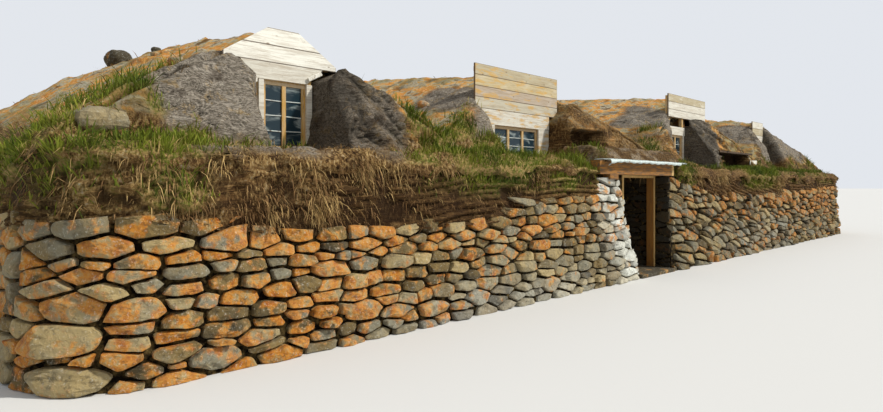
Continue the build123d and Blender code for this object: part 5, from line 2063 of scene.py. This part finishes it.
class TURFHOUSE_OT_roof(bpy.types.Operator):
    """Lay the turf of the roofs"""
    bl_idname = "turfhouse.roof"
    bl_label = "Roofs"

    def execute(self, context):
        SURFACES.extend(build_roof(*turf_parts(context)))
        return {"FINISHED"}


class TURFHOUSE_OT_heap(bpy.types.Operator):
    """Heap turf on the sheet over the door"""
    bl_idname = "turfhouse.heap"
    bl_label = "Turf on the sheet"

    def execute(self, context):
        _, finish, turf = turf_parts(context)
        SURFACES.extend(build_heap(finish, turf))
        return {"FINISHED"}


class TURFHOUSE_OT_growth(bpy.types.Operator):
    """Grow grass on the turf that is laid"""
    bl_idname = "turfhouse.growth"
    bl_label = "Grass and straw"

    def execute(self, context):
        if not SURFACES:
            raise RuntimeError("the grass needs turf to stand on")
        build_growth(SURFACES, context.scene.turf_house.growth)
        return {"FINISHED"}


class TURFHOUSE_OT_rocks(bpy.types.Operator):
    """Set the stones that lie on the roofs"""
    bl_idname = "turfhouse.rocks"
    bl_label = "Roof stones"

    def execute(self, context):
        settings = context.scene.turf_house
        build_rocks(TurfShape(settings.turf), settings.rubble, settings.turf)
        return {"FINISHED"}


class TURFHOUSE_OT_boards(bpy.types.Operator):
    """Finish the boards of the gables"""
    bl_idname = "turfhouse.boards"
    bl_label = "Boards"

    def execute(self, context):
        dress_boards(context.scene.turf_house.timber)
        return {"FINISHED"}


class TURFHOUSE_OT_windows(bpy.types.Operator):
    """Finish the windows and set their glazing bars"""
    bl_idname = "turfhouse.windows"
    bl_label = "Windows"

    def execute(self, context):
        dress_windows(context.scene.turf_house.timber)
        return {"FINISHED"}


class TURFHOUSE_OT_doorway(bpy.types.Operator):
    """Finish the doorway and its sheet"""
    bl_idname = "turfhouse.doorway"
    bl_label = "Doorway"

    def execute(self, context):
        dress_doorway(context.scene.turf_house.timber)
        return {"FINISHED"}


class TURFHOUSE_OT_roof_timber(bpy.types.Operator):
    """Finish the timber under the turf"""
    bl_idname = "turfhouse.roof_timber"
    bl_label = "Roof timber"

    def execute(self, context):
        dress_roof_timber(context.scene.turf_house.timber)
        return {"FINISHED"}


class TURFHOUSE_OT_stage(bpy.types.Operator):
    """Set the floor, the light and the camera"""
    bl_idname = "turfhouse.stage"
    bl_label = "Stage"

    def execute(self, context):
        build_stage(context.scene.turf_house.stage)
        return {"FINISHED"}


STEPS = (TURFHOUSE_OT_stage, TURFHOUSE_OT_stones, TURFHOUSE_OT_band, TURFHOUSE_OT_cheeks, TURFHOUSE_OT_roof,
         TURFHOUSE_OT_heap, TURFHOUSE_OT_rocks, TURFHOUSE_OT_growth, TURFHOUSE_OT_boards,
         TURFHOUSE_OT_windows, TURFHOUSE_OT_doorway, TURFHOUSE_OT_roof_timber)


class TURFHOUSE_PT_panel(bpy.types.Panel):
    """Lists the steps of the turf house"""
    bl_idname = "TURFHOUSE_PT_panel"
    bl_label = "Turf House"
    bl_space_type = "VIEW_3D"
    bl_region_type = "UI"
    bl_category = "Turf House"

    def draw(self, context):
        for step in STEPS:
            self.layout.operator(step.bl_idname)


CLASSES = (RubbleSettings, TurfSettings, GrowthSettings, TimberSettings, StageSettings,
           TurfHouseSettings, *STEPS, TURFHOUSE_PT_panel)


def register():
    """Adds the classes and the settings."""
    for item in CLASSES:
        bpy.utils.register_class(item)
    bpy.types.Scene.turf_house = bpy.props.PointerProperty(name="Turf House", type=TurfHouseSettings)


def unregister():
    """Takes the settings and the classes away."""
    del bpy.types.Scene.turf_house
    for item in reversed(CLASSES):
        bpy.utils.unregister_class(item)


def main():
    """Builds the house step by step."""
    register()
    bpy.ops.turfhouse.stage()
    bpy.ops.turfhouse.stones()
    bpy.ops.turfhouse.band()
    bpy.ops.turfhouse.cheeks()
    bpy.ops.turfhouse.roof()
    bpy.ops.turfhouse.heap()
    bpy.ops.turfhouse.rocks()
    bpy.ops.turfhouse.growth()
    bpy.ops.turfhouse.boards()
    bpy.ops.turfhouse.windows()
    bpy.ops.turfhouse.doorway()
    bpy.ops.turfhouse.roof_timber()


if __name__ == "__main__":
    main()
